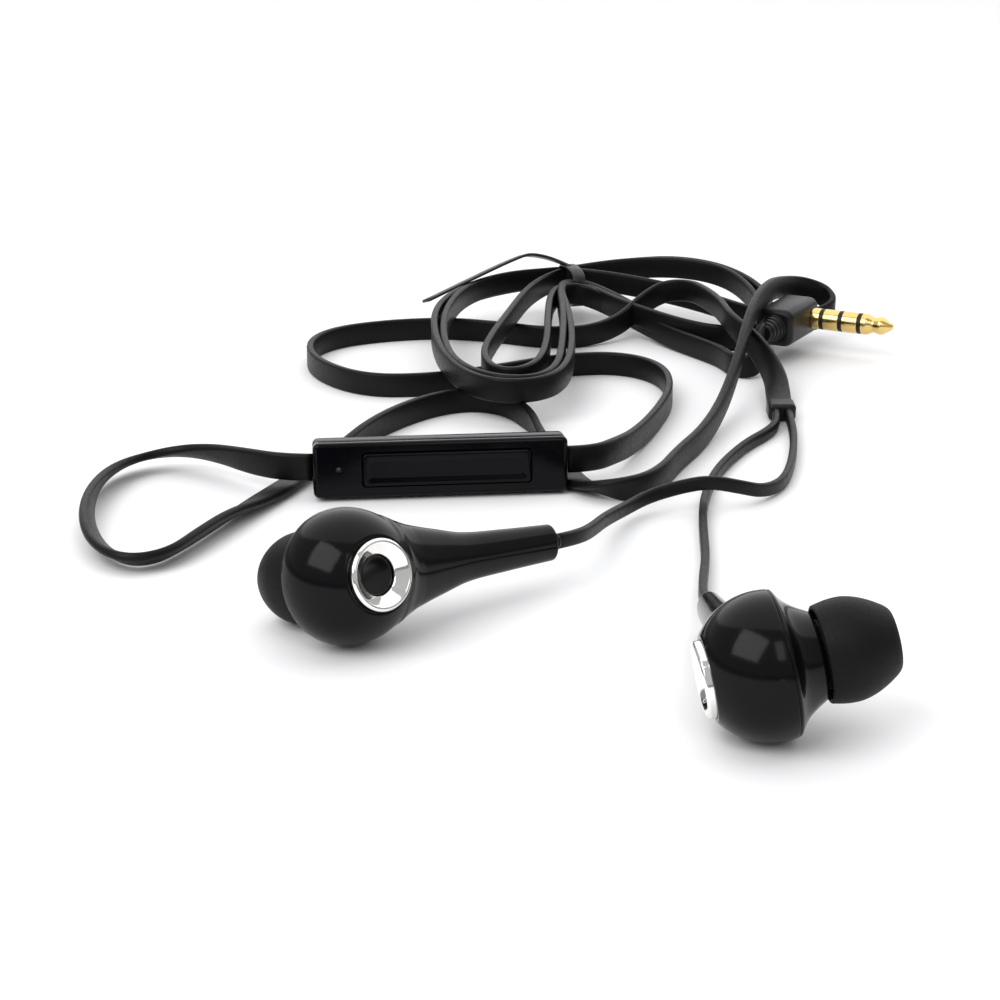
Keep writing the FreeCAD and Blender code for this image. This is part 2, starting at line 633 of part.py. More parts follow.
# Each run's corners, chosen along the real lie of the cord: (diameter alias, corners).
ROUTES = {
    "cable_left": ("single_diameter", [
        (0.4, 5.6, 5.75), (2.9, 7.8, 5.5), (4.8, 13, 4.5), (7, 21.8, 3.1), (10, 29.4, 2),
        (13.2, 33.4, 2.4), (17.4, 34.4, 3.4), (21.4, 34.3, 4.2), (25.4, 35.3, 3.2), (29.2, 38.4, 1.5),
        (32.5, 43.6, 1), (34.6, 52.1, 1), (36, 60.8, 1), (37, 69.6, 1), (37.2, 77.3, 1.3)]),
    "cable_right": ("single_diameter", [
        (17.7, -9.6, 2.85), (17.4, -4.9, 2.1), (18, 3, 1.3), (19.2, 12.4, 1), (19.7, 21.8, 1),
        (20.4, 32, 1), (21.8, 40.6, 1), (23.6, 48, 1), (26.2, 55.2, 1), (29.4, 62.2, 1),
        (33.2, 68.2, 1), (35, 72.8, 1.1), (35.35, 77.3, 1.3)]),
    "cable_upper": ("cord_diameter", [
        (36.3, 81.3, 1.4), (36.5, 86, 1.7), (37.1, 93.3, 3.4), (34.9, 100.8, 6), (31.2, 108.4, 7.7),
        (30.5, 117.3, 8), (28.9, 125.4, 8), (26.6, 132.2, 7.9), (22.2, 135, 7.2), (18, 132.4, 5.2),
        (14.2, 127.8, 2.8), (8.6, 123.2, 1.4), (1.2, 122.2, 1.3), (-6.4, 128.8, 1.3),
        (-15.4, 134, 1.3), (-25.4, 133.4, 1.3), (-33.9, 126.8, 1.3), (-37.8, 115.8, 1.3),
        (-35.9, 102.3, 1.3), (-27.9, 91.3, 1.3), (-16.9, 91.8, 1.3), (-6.4, 97.6, 1.3),
        (3.4, 104.3, 1.3), (13.1, 105.8, 1.3), (19.6, 98.8, 1.3), (20.2, 85.8, 1.3), (16.6, 71, 1.4),
        (12.6, 58.6, 2.4), (9.7, 50.6, 3.6), (6.5, 45.8, 3.9), (2.5, 45.35, 3.9)]),
    "cable_lower": ("cord_diameter", [
        (-31.9, 41.7, 3.9), (-35.9, 41.3, 4), (-41, 44, 4), (-46.4, 48.8, 3.3), (-52.4, 51.4, 2.3),
        (-57.8, 49.4, 1.7), (-60.8, 43.2, 1.4), (-61.3, 33.2, 1.3), (-59.8, 21.8, 1.3),
        (-57, 12.8, 1.3), (-52.8, 8, 1.3), (-48.4, 9.2, 1.3), (-45.4, 15.6, 1.3), (-41.6, 24.8, 1.3),
        (-38.6, 34, 1.2), (-35.6, 43.2, 1.2), (-30.6, 55.3, 1.3), (-24.4, 69, 1.3), (-18.4, 78.8, 1.3),
        (-11.6, 83.8, 1.3), (-5.4, 81.2, 1.3), (-2, 72.6, 1.3), (0.4, 62.4, 1.2), (2.2, 52.4, 1.2),
        (4.2, 43.7, 1.2), (7.8, 38.4, 1.2), (12.5, 38.5, 1.2), (15.8, 43.6, 1.2), (18.6, 52.2, 1.3),
        (23.2, 63.2, 1.5), (27.2, 76.4, 3), (30.5, 88.8, 6.4), (33, 100.4, 9.4), (35.9, 111.8, 10.7),
        (38.9, 121.2, 10.5), (41.9, 128.6, 9.3), (45.9, 133.4, 8.2), (50, 133.1, 6.8),
        (51.2, 128.8, 5.4), (48.2, 126.2, 4.3), (44.2, 126.1, 3.7), (40.6, 126.2, 3.6)]),
    "cable_plug_end": ("cord_diameter", [
        (36.5, 108.4, 6), (35.5, 106.5, 5.8), (35.3, 104.6, 4.6), (35, 102.9, 3), (33.4, 101.5, 1.8),
        (31.4, 102.5, 1.5), (30.5, 105.2, 1.5), (30.6, 108.4, 1.5), (30.6, 111.8, 1.5)]),
}


def rounded_path(name, corners):
    """Straight runs joined by tangent arcs as large as the runs allow; prints the smallest radius."""
    points = [Vector(*corner) for corner in corners]
    edges, radii, here = [], [], points[0]
    for before, corner, after in zip(points, points[1:], points[2:]):
        run_in, run_out = corner - before, after - corner
        half = run_in.getAngle(run_out) / 2
        reach = 0.45 * min(run_in.Length, run_out.Length)
        radius = reach / math.tan(half)
        run_in.normalize()
        run_out.normalize()
        start, end = corner - run_in * reach, corner + run_out * reach
        inward = (run_out - run_in).normalize()
        middle = corner + inward * (radius / math.cos(half) - radius)
        edges.append(Part.LineSegment(here, start).toShape())
        edges.append(Part.Arc(start, middle, end).toShape())
        radii.append(radius)
        here = end
    edges.append(Part.LineSegment(here, points[-1]).toShape())
    print("%s: smallest radius %.1f mm, all %s" % (name, min(radii), [round(r, 1) for r in radii]))
    return Part.Wire(edges)


def cord(name, diameter, corners):
    """A round cord swept along its rounded path, its volume checked against section times length."""
    path = doc.addObject("Part::Feature", name + "_path")
    path.Shape = rounded_path(name, corners)
    circle = doc.addObject("Part::Circle", name + "_section")
    bind(circle, Radius=diameter + " / 2")
    heading = Vector(*corners[1]) - Vector(*corners[0])
    circle.Placement = FreeCAD.Placement(
        Vector(*corners[0]), FreeCAD.Rotation(Vector(0, 0, 1), heading))
    sweep = doc.addObject("Part::Sweep", name)
    sweep.Sections = [circle]
    sweep.Spine = (path, ["Edge%d" % (i + 1) for i in range(len(path.Shape.Edges))])
    sweep.Solid = True
    sweep.Frenet = False
    doc.recompute()
    expected = math.pi * (size(diameter) / 2) ** 2 * path.Shape.Length
    ratio = sweep.Shape.Volume / expected
    print("%s: length %.1f mm, volume %.4f of section x length" % (name, path.Shape.Length, ratio))
    if abs(ratio - 1) > 0.01:
        raise ValueError(name)
    return sweep


for cord_name, (cord_size, cord_corners) in ROUTES.items():
    keep(cord(cord_name, cord_size, cord_corners), cord_name)

# ---------------------------------------------------------------- split, hank and tie

keep(plain_box("split", ("4.2", "4.0", "2.6"), ("34.2", "77.3", "0.1")), "cable_split")

# The hank lies as two lobes either side of its tied waist, the right one piled higher at its far side.
# Corners in plan.
FAR_BAND = [(9.0, 151.6), (16.6, 155.8), (27.6, 155.8), (37.6, 148.6), (40.2, 139.6), (34.0, 142.6),
            (25.0, 146.0), (16.0, 146.4), (10.6, 147.4)]
LEFT_LOBE = [(8.0, 152.3), (4.3, 151.1), (-8.4, 147), (-15.9, 137), (-19.4, 115), (-18.9, 95),
             (-14.4, 79), (-6.4, 73), (1.1, 76), (5.6, 90), (5.2, 115), (4.2, 135), (6.2, 144.6),
             (10.0, 145.8)]
RIGHT_LOBE = [(7.2, 152.0), (16.6, 154.8), (27.6, 154.8), (37.6, 147.8), (40.6, 134.8), (40.6, 123.8),
              (33.6, 111.8), (27.6, 111.8), (25.2, 121), (24.2, 131.5), (19.6, 138.5), (13.5, 141.5),
              (9.2, 145.4)]
TIED_AT = turned_place((6.6, 143.8, 0.6), 17.0, 0.0, 0.0)


def lobe(body, name, corners, low, high):
    """One lobe of the hank: a plan outline padded from low to high."""
    sketch = body.newObject("Sketcher::SketchObject", name + "_plan")
    sketch.AttachmentSupport = [(origin_feature(body, "XY_Plane"), "")]
    sketch.MapMode = "FlatFace"
    sketch.AttachmentOffset = FreeCAD.Placement(Vector(0, 0, low), FreeCAD.Rotation())
    spots = [Vector(x, y, 0) for x, y in corners]
    for index, start in enumerate(spots):
        end = spots[(index + 1) % len(spots)]
        sketch.addGeometry(Part.LineSegment(start, end), False)
        sketch.addConstraint(Sketcher.Constraint("DistanceX", -1, 1, index, 1, start.x))
        sketch.addConstraint(Sketcher.Constraint("DistanceY", -1, 1, index, 1, start.y))
    for index in range(len(spots)):
        following = (index + 1) % len(spots)
        sketch.addConstraint(Sketcher.Constraint("Coincident", index, 2, following, 1))
    pad = body.newObject("PartDesign::Pad", name)
    pad.Profile = sketch
    pad.Length = high - low
    sketch.Visibility = False
    return pad


def hank():
    """Both lobes of the wound cord as one closed solid."""
    body = doc.addObject("PartDesign::Body", "hank")
    lobe(body, "right_lobe", RIGHT_LOBE, 0.0, 5.6)
    lobe(body, "far_band", FAR_BAND, 4.0, 8.2)
    last = lobe(body, "left_lobe", LEFT_LOBE, 2.9, 6.8)
    doc.recompute()
    upright = []
    for number, edge in enumerate(last.Shape.Edges, start=1):
        first, second = (vertex.Point for vertex in edge.Vertexes)
        slant = math.hypot(first.x - second.x, first.y - second.y)
        if slant < 1e-6 and edge.Length > 3.8 and not 3 < first.x < 12:
            upright.append("Edge%d" % number)
    fillet = body.newObject("PartDesign::Fillet", "hank_rounding")
    fillet.Base = (last, upright)
    fillet.Radius = 2.5
    return body


def twist_tie():
    """The flat tie: a ring of square section round the waist and the tail left over."""
    outer = doc.addObject("Part::Box", "tie_outer")
    bind(outer, Length="tie_width", Width="tie_span + 2 * tie_thick", Height="tie_rise + 2 * tie_thick")
    inner = doc.addObject("Part::Box", "tie_inner")
    bind(inner, Length="tie_width", Width="tie_span", Height="tie_rise",
         Placement__Base__y="tie_thick", Placement__Base__z="tie_thick")
    tail = doc.addObject("Part::Box", "tie_tail")
    bind(tail, Length="tie_tail", Width="tie_width - 0.4", Height="tie_thick")
    tail.Placement.Rotation = FreeCAD.Rotation(217.0, 0, 0)
    bind(tail, Placement__Base__x="1.2", Placement__Base__y="tie_span",
         Placement__Base__z="tie_rise + tie_thick")
    whole = doc.addObject("Part::Fuse", "tie")
    whole.Base, whole.Tool = cut("tie_ring", outer, inner), tail
    return whole


keep(hank(), "cable_hank")
keep(twist_tie(), "twist_tie", TIED_AT)

# ---------------------------------------------------------------- checks and files

doc.recompute()
for thing in doc.Objects:
    if "Invalid" in thing.State or "Error" in thing.State:
        raise RuntimeError("%s failed: %s" % (thing.Name, thing.State))
os.makedirs("parts", exist_ok=True)
for part in PARTS:
    shape = part.Shape
    if shape.isNull() or not shape.isValid() or shape.Volume <= 0 or len(shape.Solids) != 1:
        raise RuntimeError("%s is not one sound solid" % part.Label)
    shape.exportStep("parts/%s.step" % part.Label)
bounds = FreeCAD.BoundBox()
for part in PARTS:
    if not part.Label.startswith(("cable", "plug", "twist")):
        bounds.add(part.Shape.optimalBoundingBox(True, False))
print("earbuds and remote:", bounds)
print("origin off by X %.2f, Y %.2f, Z %.2f" % (bounds.Center.x, bounds.Center.y, bounds.ZMin))
print("pieces:", len(PARTS))
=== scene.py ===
import math
import bpy
import bmesh
from mathutils import Matrix, Vector


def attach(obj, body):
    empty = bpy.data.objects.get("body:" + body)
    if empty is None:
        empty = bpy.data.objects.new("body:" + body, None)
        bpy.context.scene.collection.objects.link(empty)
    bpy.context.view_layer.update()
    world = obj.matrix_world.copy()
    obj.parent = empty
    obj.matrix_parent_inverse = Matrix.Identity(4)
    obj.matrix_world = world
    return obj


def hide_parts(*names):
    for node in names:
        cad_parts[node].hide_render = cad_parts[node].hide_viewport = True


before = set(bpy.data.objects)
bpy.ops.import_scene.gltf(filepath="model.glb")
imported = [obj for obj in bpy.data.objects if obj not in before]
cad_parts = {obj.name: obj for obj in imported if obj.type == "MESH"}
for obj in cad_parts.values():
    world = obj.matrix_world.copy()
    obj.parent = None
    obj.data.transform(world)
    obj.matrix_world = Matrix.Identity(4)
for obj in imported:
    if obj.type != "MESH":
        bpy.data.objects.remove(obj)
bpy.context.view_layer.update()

scene = bpy.context.scene
collection = scene.collection
mm = 0.001


def linkObject(name, data):
    obj = bpy.data.objects.new(name, data)
    collection.objects.link(obj)
    return obj


def meshFromBmesh(name, bm, smooth=True):
    mesh = bpy.data.meshes.new(name)
    bm.to_mesh(mesh)
    bm.free()
    for face in mesh.polygons:
        face.use_smooth = smooth
    return linkObject(name, mesh)


# camera
cameraPlan = {
    "place": (-0.0064, -0.2572, 0.09668),
    "pitch": 71.94,          # degrees from straight down
    "lens": 82.8,
    "sensor": 36.0,
}
cameraData = bpy.data.cameras.new("viewCamera")
cameraData.lens = cameraPlan["lens"]
cameraData.sensor_width = cameraPlan["sensor"]
cameraData.clip_start = 0.005
cameraData.clip_end = 20
viewCamera = linkObject("viewCamera", cameraData)
viewCamera.location = cameraPlan["place"]
viewCamera.rotation_euler = (math.radians(cameraPlan["pitch"]), 0, 0)
scene.camera = viewCamera
print("camera ready")


# materials
def newMaterial(name, **values):
    material = bpy.data.materials.new(name)
    material.use_nodes = True
    shader = material.node_tree.nodes["Principled BSDF"]
    for socket, value in values.items():
        shader.inputs[socket.replace("_", " ")].default_value = value
    return material, material.node_tree, shader


def addNode(tree, kind, **values):
    node = tree.nodes.new(kind)
    for key, value in values.items():
        if key in node.inputs:
            node.inputs[key].default_value = value
        else:
            setattr(node, key, value)
    return node


def objectCoordinates(tree, scale=(1, 1, 1)):
    coordinates = addNode(tree, "ShaderNodeTexCoord")
    mapping = addNode(tree, "ShaderNodeMapping")
    mapping.inputs["Scale"].default_value = scale
    tree.links.new(coordinates.outputs["Object"], mapping.inputs["Vector"])
    return mapping.outputs["Vector"]


def noiseOn(tree, vector, scale, detail=3.0, roughness=0.5):
    noise = addNode(tree, "ShaderNodeTexNoise", Scale=scale, Detail=detail, Roughness=roughness)
    tree.links.new(vector, noise.inputs["Vector"])
    return noise.outputs["Fac"]


def spread(tree, value, low, high, fromLow=0.3, fromHigh=0.7):
    ramp = addNode(tree, "ShaderNodeMapRange")
    ramp.inputs["From Min"].default_value = fromLow
    ramp.inputs["From Max"].default_value = fromHigh
    ramp.inputs["To Min"].default_value = low
    ramp.inputs["To Max"].default_value = high
    tree.links.new(value, ramp.inputs["Value"])
    return ramp.outputs["Result"]


def mixColours(tree, factor, dark, light):
    mix = addNode(tree, "ShaderNodeMix", data_type="RGBA")
    for socket in mix.inputs:
        if socket.type == "RGBA" and socket.name == "A":
            socket.default_value = (*dark, 1)
        if socket.type == "RGBA" and socket.name == "B":
            socket.default_value = (*light, 1)
    tree.links.new(factor, mix.inputs["Factor"])
    return [o for o in mix.outputs if o.type == "RGBA"][0]


def addBump(tree, shader, height, strength, distance):
    bump = addNode(tree, "ShaderNodeBump", Strength=strength, Distance=distance)
    tree.links.new(height, bump.inputs["Height"])
    tree.links.new(bump.outputs["Normal"], shader.inputs["Normal"])
    return bump


def surfaceFinish(name, dark, light, roughLow, roughHigh, grain, bumpStrength, bumpDistance, **values):
    material, tree, shader = newMaterial(name, **values)
    vector = objectCoordinates(tree)
    coarse = noiseOn(tree, vector, grain * 0.12, 2.0)
    fine = noiseOn(tree, vector, grain, 4.0, 0.6)
    tree.links.new(mixColours(tree, coarse, dark, light), shader.inputs["Base Color"])
    tree.links.new(spread(tree, fine, roughLow, roughHigh), shader.inputs["Roughness"])
    addBump(tree, shader, fine, bumpStrength, bumpDistance)
    return material


# cords: corners of each route as x, y, z and how far the flat cord is turned from standing on edge
cordPlan = {
    "mainSection": (0.00115, 0.0038, 0.00042),      # thickness, width, corner radius
    "singleSection": (0.0011, 0.0019, 0.00045),
    "stepsPerCorner": 8,
    "left": [
        (0.0004, 0.0056, 0.0057, 0), (0.0029, 0.0078, 0.0055, 0), (0.0048, 0.013, 0.0045, 0),
        (0.007, 0.0218, 0.0031, 0), (0.01, 0.0294, 0.002, 0), (0.0132, 0.0334, 0.0024, 0),
        (0.0174, 0.0344, 0.0034, 0), (0.0214, 0.0343, 0.0042, 0), (0.0254, 0.0353, 0.0032, 0),
        (0.0292, 0.0384, 0.0015, 0), (0.0325, 0.0436, 0.001, 0), (0.0346, 0.0521, 0.001, 0),
        (0.036, 0.0608, 0.001, 0), (0.037, 0.0696, 0.001, 0), (0.0372, 0.0773, 0.0013, 0),
    ],
    "right": [
        (0.0177, -0.0096, 0.0029, 0), (0.0174, -0.0049, 0.0021, 0), (0.018, 0.003, 0.0013, 0),
        (0.0192, 0.0124, 0.001, 0), (0.0197, 0.0218, 0.001, 0), (0.0204, 0.032, 0.001, 0),
        (0.0218, 0.0406, 0.001, 0), (0.0236, 0.048, 0.001, 0), (0.0262, 0.0552, 0.001, 0),
        (0.0294, 0.0622, 0.001, 0), (0.0332, 0.0682, 0.001, 0), (0.035, 0.0728, 0.0011, 0),
        (0.0353, 0.0773, 0.0013, 0),
    ],
    "upper": [
        (0.0363, 0.0813, 0.0014, 90), (0.0367, 0.086, 0.0015, 82), (0.0369, 0.0933, 0.0032, 52),
        (0.0347, 0.1008, 0.006, 20), (0.0312, 0.1084, 0.0077, 0), (0.0305, 0.1173, 0.008, 0),
        (0.0289, 0.1254, 0.008, 0), (0.0266, 0.1322, 0.0079, 0), (0.0222, 0.135, 0.0072, 0),
        (0.018, 0.1324, 0.0052, 0), (0.0142, 0.1278, 0.0028, 0), (0.0086, 0.1232, 0.0019, 0),
        (0.0012, 0.1222, 0.0019, 0), (-0.0064, 0.1262, 0.0019, 0), (-0.0154, 0.1292, 0.0019, 0),
        (-0.0254, 0.1276, 0.0019, 0), (-0.0346, 0.1226, 0.0019, 0), (-0.0384, 0.1138, 0.0019, 0),
        (-0.0362, 0.1016, 0.0019, 0), (-0.0279, 0.0913, 0.0019, 0), (-0.0169, 0.0918, 0.0019, 0),
        (-0.0064, 0.0976, 0.0019, 0), (0.0034, 0.1043, 0.0019, 0), (0.0131, 0.1058, 0.0019, 0),
        (0.0196, 0.0988, 0.0019, 0), (0.0202, 0.0858, 0.0019, 0), (0.0166, 0.071, 0.0019, 0),
        (0.0126, 0.0586, 0.0024, 0), (0.0097, 0.0506, 0.0036, 0), (0.0065, 0.0458, 0.0039, 0),
        (0.0025, 0.0454, 0.0039, 0),
    ],
    "lower": [
        (-0.0319, 0.0417, 0.0039, 0), (-0.0359, 0.0415, 0.004, 0), (-0.0408, 0.0448, 0.0038, -12),
        (-0.0462, 0.0500, 0.0034, -42), (-0.0520, 0.0532, 0.0028, -68), (-0.0574, 0.0518, 0.0022, -72),
        (-0.0606, 0.0450, 0.0020, -44), (-0.0611, 0.0345, 0.0020, -6), (-0.0597, 0.0240, 0.0020, 26),
        (-0.0568, 0.0152, 0.0017, 50), (-0.0526, 0.0104, 0.0015, 62), (-0.0484, 0.0117, 0.0016, 56),
        (-0.0456, 0.0178, 0.0018, 46), (-0.0424, 0.0261, 0.0018, 46), (-0.0390, 0.0346, 0.0011, 76),
        (-0.0356, 0.0432, 0.0007, 90), (-0.0306, 0.0553, 0.0018, 50), (-0.0244, 0.069, 0.0019, 0),
        (-0.0184, 0.0788, 0.0019, 0), (-0.0116, 0.0838, 0.0019, 0), (-0.0054, 0.0812, 0.0019, 0),
        (-0.002, 0.0726, 0.0019, 0), (0.0004, 0.0624, 0.0019, 40), (0.0022, 0.0524, 0.0008, 85),
        (0.0042, 0.0437, 0.0007, 90), (0.0078, 0.0384, 0.0018, 50), (0.0125, 0.0385, 0.0019, 0),
        (0.0158, 0.0436, 0.0019, 0), (0.0186, 0.0522, 0.0019, 0), (0.0232, 0.0632, 0.0019, 0),
        (0.0272, 0.0764, 0.003, 0), (0.0305, 0.0888, 0.0064, 0), (0.033, 0.1004, 0.0094, 0),
        (0.0359, 0.1118, 0.0107, 0), (0.0389, 0.1212, 0.0105, 0), (0.0419, 0.1286, 0.0093, 0),
        (0.0459, 0.1334, 0.0082, 0), (0.05, 0.1331, 0.0068, 0), (0.0512, 0.1288, 0.0054, 0),
        (0.0482, 0.1262, 0.0043, 0), (0.0442, 0.1261, 0.0037, 0), (0.0406, 0.1262, 0.0036, 0),
    ],
    "intoHank": [
        (0.036, 0.1304, 0.0038, 0), (0.0308, 0.136, 0.0044, 0), (0.0244, 0.1408, 0.0052, 0),
        (0.017, 0.1452, 0.0058, 0), (0.0104, 0.149, 0.006, 0),
    ],
    # one turn of the hank round its two lobes, from the tied waist round the left lobe first
    "hankTurn": [
        (0.0036, 0.1518, 0.0056, 0), (-0.0052, 0.1466, 0.0058, 0), (-0.0120, 0.1370, 0.0057, 0),
        (-0.0152, 0.1208, 0.0057, 0), (-0.0152, 0.1018, 0.0057, 0), (-0.0128, 0.0858, 0.0057, 0),
        (-0.0078, 0.0772, 0.0057, 0), (-0.0016, 0.0768, 0.0057, 0), (0.0022, 0.0836, 0.0057, 0),
        (0.0034, 0.0998, 0.0057, 0), (0.0034, 0.1188, 0.0057, 0), (0.0034, 0.1348, 0.0056, 0),
        (0.0048, 0.1432, 0.0052, 0), (0.0098, 0.1446, 0.0047, 0), (0.0138, 0.1390, 0.0041, 0),
        (0.0178, 0.1326, 0.0034, 0), (0.0232, 0.1250, 0.0024, 0), (0.0296, 0.1192, 0.002, 0),
        (0.0356, 0.1212, 0.0022, 0), (0.0378, 0.1288, 0.0032, 0), (0.0374, 0.1388, 0.0050, 0),
        (0.0336, 0.1474, 0.0066, 0), (0.0264, 0.1516, 0.0074, 0), (0.0176, 0.1526, 0.0070, 0),
        (0.0092, 0.1520, 0.0060, 0),
    ],
    "hankTurns": 2,
    "leftLobe": (-0.0065, 0.1130),
    "rightLobe": (0.0265, 0.1370),
    "secondLobe": 13,           # the first corner of a turn that belongs to the right lobe
    "crossing": 16.5,           # where the first turn rides over the later ones
    "crossingRise": 0.0017,
    "turnSpread": 0.0018,       # gap between turns
    "turnInset": 0.0008,
    "wander": 0.0004,           # unevenness of a hand-wound turn
    "outOfHank": [
        (0.0041, 0.1510, 0.0056, 0), (0.0004, 0.1436, 0.0056, 0), (-0.0024, 0.1326, 0.0059, 0),
        (-0.0050, 0.1186, 0.0057, 0), (-0.0076, 0.1046, 0.0057, 0), (-0.0092, 0.0918, 0.0057, 0),
        (-0.0076, 0.0822, 0.0057, 0), (-0.0036, 0.0806, 0.0057, 0), (-0.0002, 0.0868, 0.0057, 0),
        (0.0012, 0.1006, 0.0057, 0), (0.0016, 0.1188, 0.0057, 0), (0.0024, 0.1338, 0.0056, 0),
        (0.0044, 0.1406, 0.0053, 0), (0.0080, 0.1432, 0.0048, 0), (0.0124, 0.1386, 0.0040, 0),
        (0.0176, 0.1300, 0.003, 0), (0.0226, 0.1216, 0.0021, 0), (0.0266, 0.1154, 0.0019, 0),
    ],
    "plugEnd": [
        (0.0291, 0.1112, 0.0019, 0), (0.0303, 0.1080, 0.0019, 0), (0.0310, 0.1050, 0.0019, 0),
        (0.0324, 0.1030, 0.0019, 0), (0.0343, 0.1024, 0.0022, 0), (0.0357, 0.1038, 0.0031, 0),
        (0.0353, 0.1046, 0.0046, 0), (0.0355, 0.1065, 0.0058, 0), (0.0365, 0.1084, 0.006, 0),
    ],
}


def flatSection(name, thickness, width, corner):
    data = bpy.data.curves.new(name, "CURVE")
    data.dimensions = "2D"
    spline = data.splines.new("POLY")
    points = []
    for side, (cx, cy) in enumerate(((1, 1), (-1, 1), (-1, -1), (1, -1))):
        for step in range(4):
            angle = math.radians(90 * side + 30 * step)
            x = cx * (thickness / 2 - corner) + corner * math.cos(angle)
            y = cy * (width / 2 - corner) + corner * math.sin(angle)
            points.append((x, y, 0, 1))
    spline.points.add(len(points) - 1)
    for point, co in zip(spline.points, points):
        point.co = co
    spline.use_cyclic_u = True
    return linkObject(name, data)


def hankRoute(plan):
    corners = list(plan["intoHank"])
    total = len(plan["hankTurn"])
    for turn in range(plan["hankTurns"]):
        push = plan["turnSpread"] * (plan["hankTurns"] - turn) - plan["turnInset"]
        for number, (x, y, z, twist) in enumerate(plan["hankTurn"]):
            centre = plan["leftLobe"] if number < plan["secondLobe"] else plan["rightLobe"]
            away = Vector((x - centre[0], y - centre[1]))
            loose = min(1, abs(number - total / 2) / 3, number / 3, (total - number) / 3)
            away = away.normalized() * push * (0.35 + 0.65 * loose)
            wave = plan["wander"] * math.sin(number * 1.7 + turn * 2.1)
            over = max(0.0, 1 - abs(number - plan["crossing"]) / 3) if turn == 0 else 0.0
            rise = 0.0002 * turn + plan["crossingRise"] * over
            corners.append((x + away.x + wave, y + away.y - wave, z + rise, twist))
    return corners + plan["outOfHank"]


def routeCurve(name, corners, steps):
    data = bpy.data.curves.new(name, "CURVE")
    data.dimensions = "3D"
    data.resolution_u = steps
    data.twist_mode = "Z_UP"
    spline = data.splines.new("NURBS")
    spline.points.add(len(corners) - 1)
    for point, (x, y, z, twist) in zip(spline.points, corners):
        point.co = (x, y, z, 1)
        point.tilt = math.radians(twist)
    spline.order_u = 3
    spline.use_endpoint_u = True
    return linkObject(name, data)


def layCord(name, corners, section):
    route = routeCurve(name + "Route", corners, cordPlan["stepsPerCorner"])
    bpy.context.view_layer.update()
    depsgraph = bpy.context.evaluated_depsgraph_get()
    line = bpy.data.meshes.new_from_object(route.evaluated_get(depsgraph))
    path = [tuple(v.co) for v in line.vertices]
    route.data.bevel_mode = "OBJECT"
    route.data.bevel_object = section
    route.data.use_fill_caps = True
    bpy.context.view_layer.update()
    depsgraph = bpy.context.evaluated_depsgraph_get()
    mesh = bpy.data.meshes.new_from_object(route.evaluated_get(depsgraph))
    mesh.name = name
    bpy.data.objects.remove(route)
    bm = bmesh.new()
    bm.from_mesh(mesh)
    bmesh.ops.remove_doubles(bm, verts=bm.verts, dist=0.000002)
    bmesh.ops.recalc_face_normals(bm, faces=bm.faces)
    for face in bm.faces:
        face.smooth = len(face.verts) == 4
    bm.to_mesh(mesh)
    bm.free()
    mesh.materials.clear()
    return linkObject(name, mesh), path


def pathLength(path):
    return sum((Vector(b) - Vector(a)).length for a, b in zip(path, path[1:]))


mainSection = flatSection("mainSection", *cordPlan["mainSection"])
singleSection = flatSection("singleSection", *cordPlan["singleSection"])
cordRubber = surfaceFinish(
    "cordRubber", (0.0026, 0.0026, 0.0029), (0.0046, 0.0045, 0.0049), 0.36, 0.5, 1600, 0.2, 0.00003,
    Specular_IOR_Level=0.17)
cordCorners = {
    "cordLeft": cordPlan["left"],
    "cordRight": cordPlan["right"],
    "cordUpper": cordPlan["upper"],
    "cordLower": cordPlan["lower"] + hankRoute(cordPlan) + cordPlan["plugEnd"],
}
for cordName, corners in cordCorners.items():
    section = mainSection if cordName in ("cordUpper", "cordLower") else singleSection
    piece, path = layCord(cordName, corners, section)
    piece.data.materials.append(cordRubber)
    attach(piece, "earphones")
    print(cordName, "length", round(pathLength(path), 4))
bpy.data.objects.remove(mainSection)
bpy.data.objects.remove(singleSection)
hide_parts("cable_left")
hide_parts("cable_right")
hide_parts("cable_upper")
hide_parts("cable_lower", "cable_hank", "cable_plug_end")


# shapes
def bridgeRings(bm, rings, closeFirst=False, closeLast=False, joinEnds=False):
    made = [[bm.verts.new(point) for point in ring] for ring in rings]
    pairs = list(zip(made, made[1:])) + ([(made[-1], made[0])] if joinEnds else [])
    for first, second in pairs:
        for number in range(len(first)):
            after = (number + 1) % len(first)
            bm.faces.new((first[number], first[after], second[after], second[number]))
    if closeFirst:
        bm.faces.new(made[0])
    if closeLast:
        bm.faces.new(made[-1])


def finishMesh(name, bm, place, material, flatOver=4):
    bmesh.ops.remove_doubles(bm, verts=bm.verts, dist=0.0000015)
    bmesh.ops.dissolve_degenerate(bm, edges=bm.edges, dist=0.000001)
    bmesh.ops.recalc_face_normals(bm, faces=bm.faces)
    bmesh.ops.transform(bm, matrix=place, verts=bm.verts)
    mesh = bpy.data.meshes.new(name)
    for face in bm.faces:
        face.smooth = len(face.verts) <= flatOver
    bm.to_mesh(mesh)
    bm.free()
    mesh.materials.append(material)
    return linkObject(name, mesh)


def claim(piece, node, body="earphones"):
    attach(piece, body)
    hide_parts(node)
    return piece


def softProfile(corners, softness, closed=True, steps=4):
    points = []
    for number, corner in enumerate(corners):
        here = Vector(corner[:2]) * mm
        soft = (corner[2] if len(corner) > 2 else softness) * mm
        if not closed and number in (0, len(corners) - 1):
            points.append(here)
            continue
        before = Vector(corners[number - 1][:2]) * mm - here
        after = Vector(corners[(number + 1) % len(corners)][:2]) * mm - here
        reach = min(soft, 0.48 * before.length, 0.48 * after.length)
        start, finish = here + before.normalized() * reach, here + after.normalized() * reach
        for step in range(steps + 1):
            t = step / steps
            points.append(start * (1 - t) ** 2 + here * (2 * t * (1 - t)) + finish * t * t)
    return points


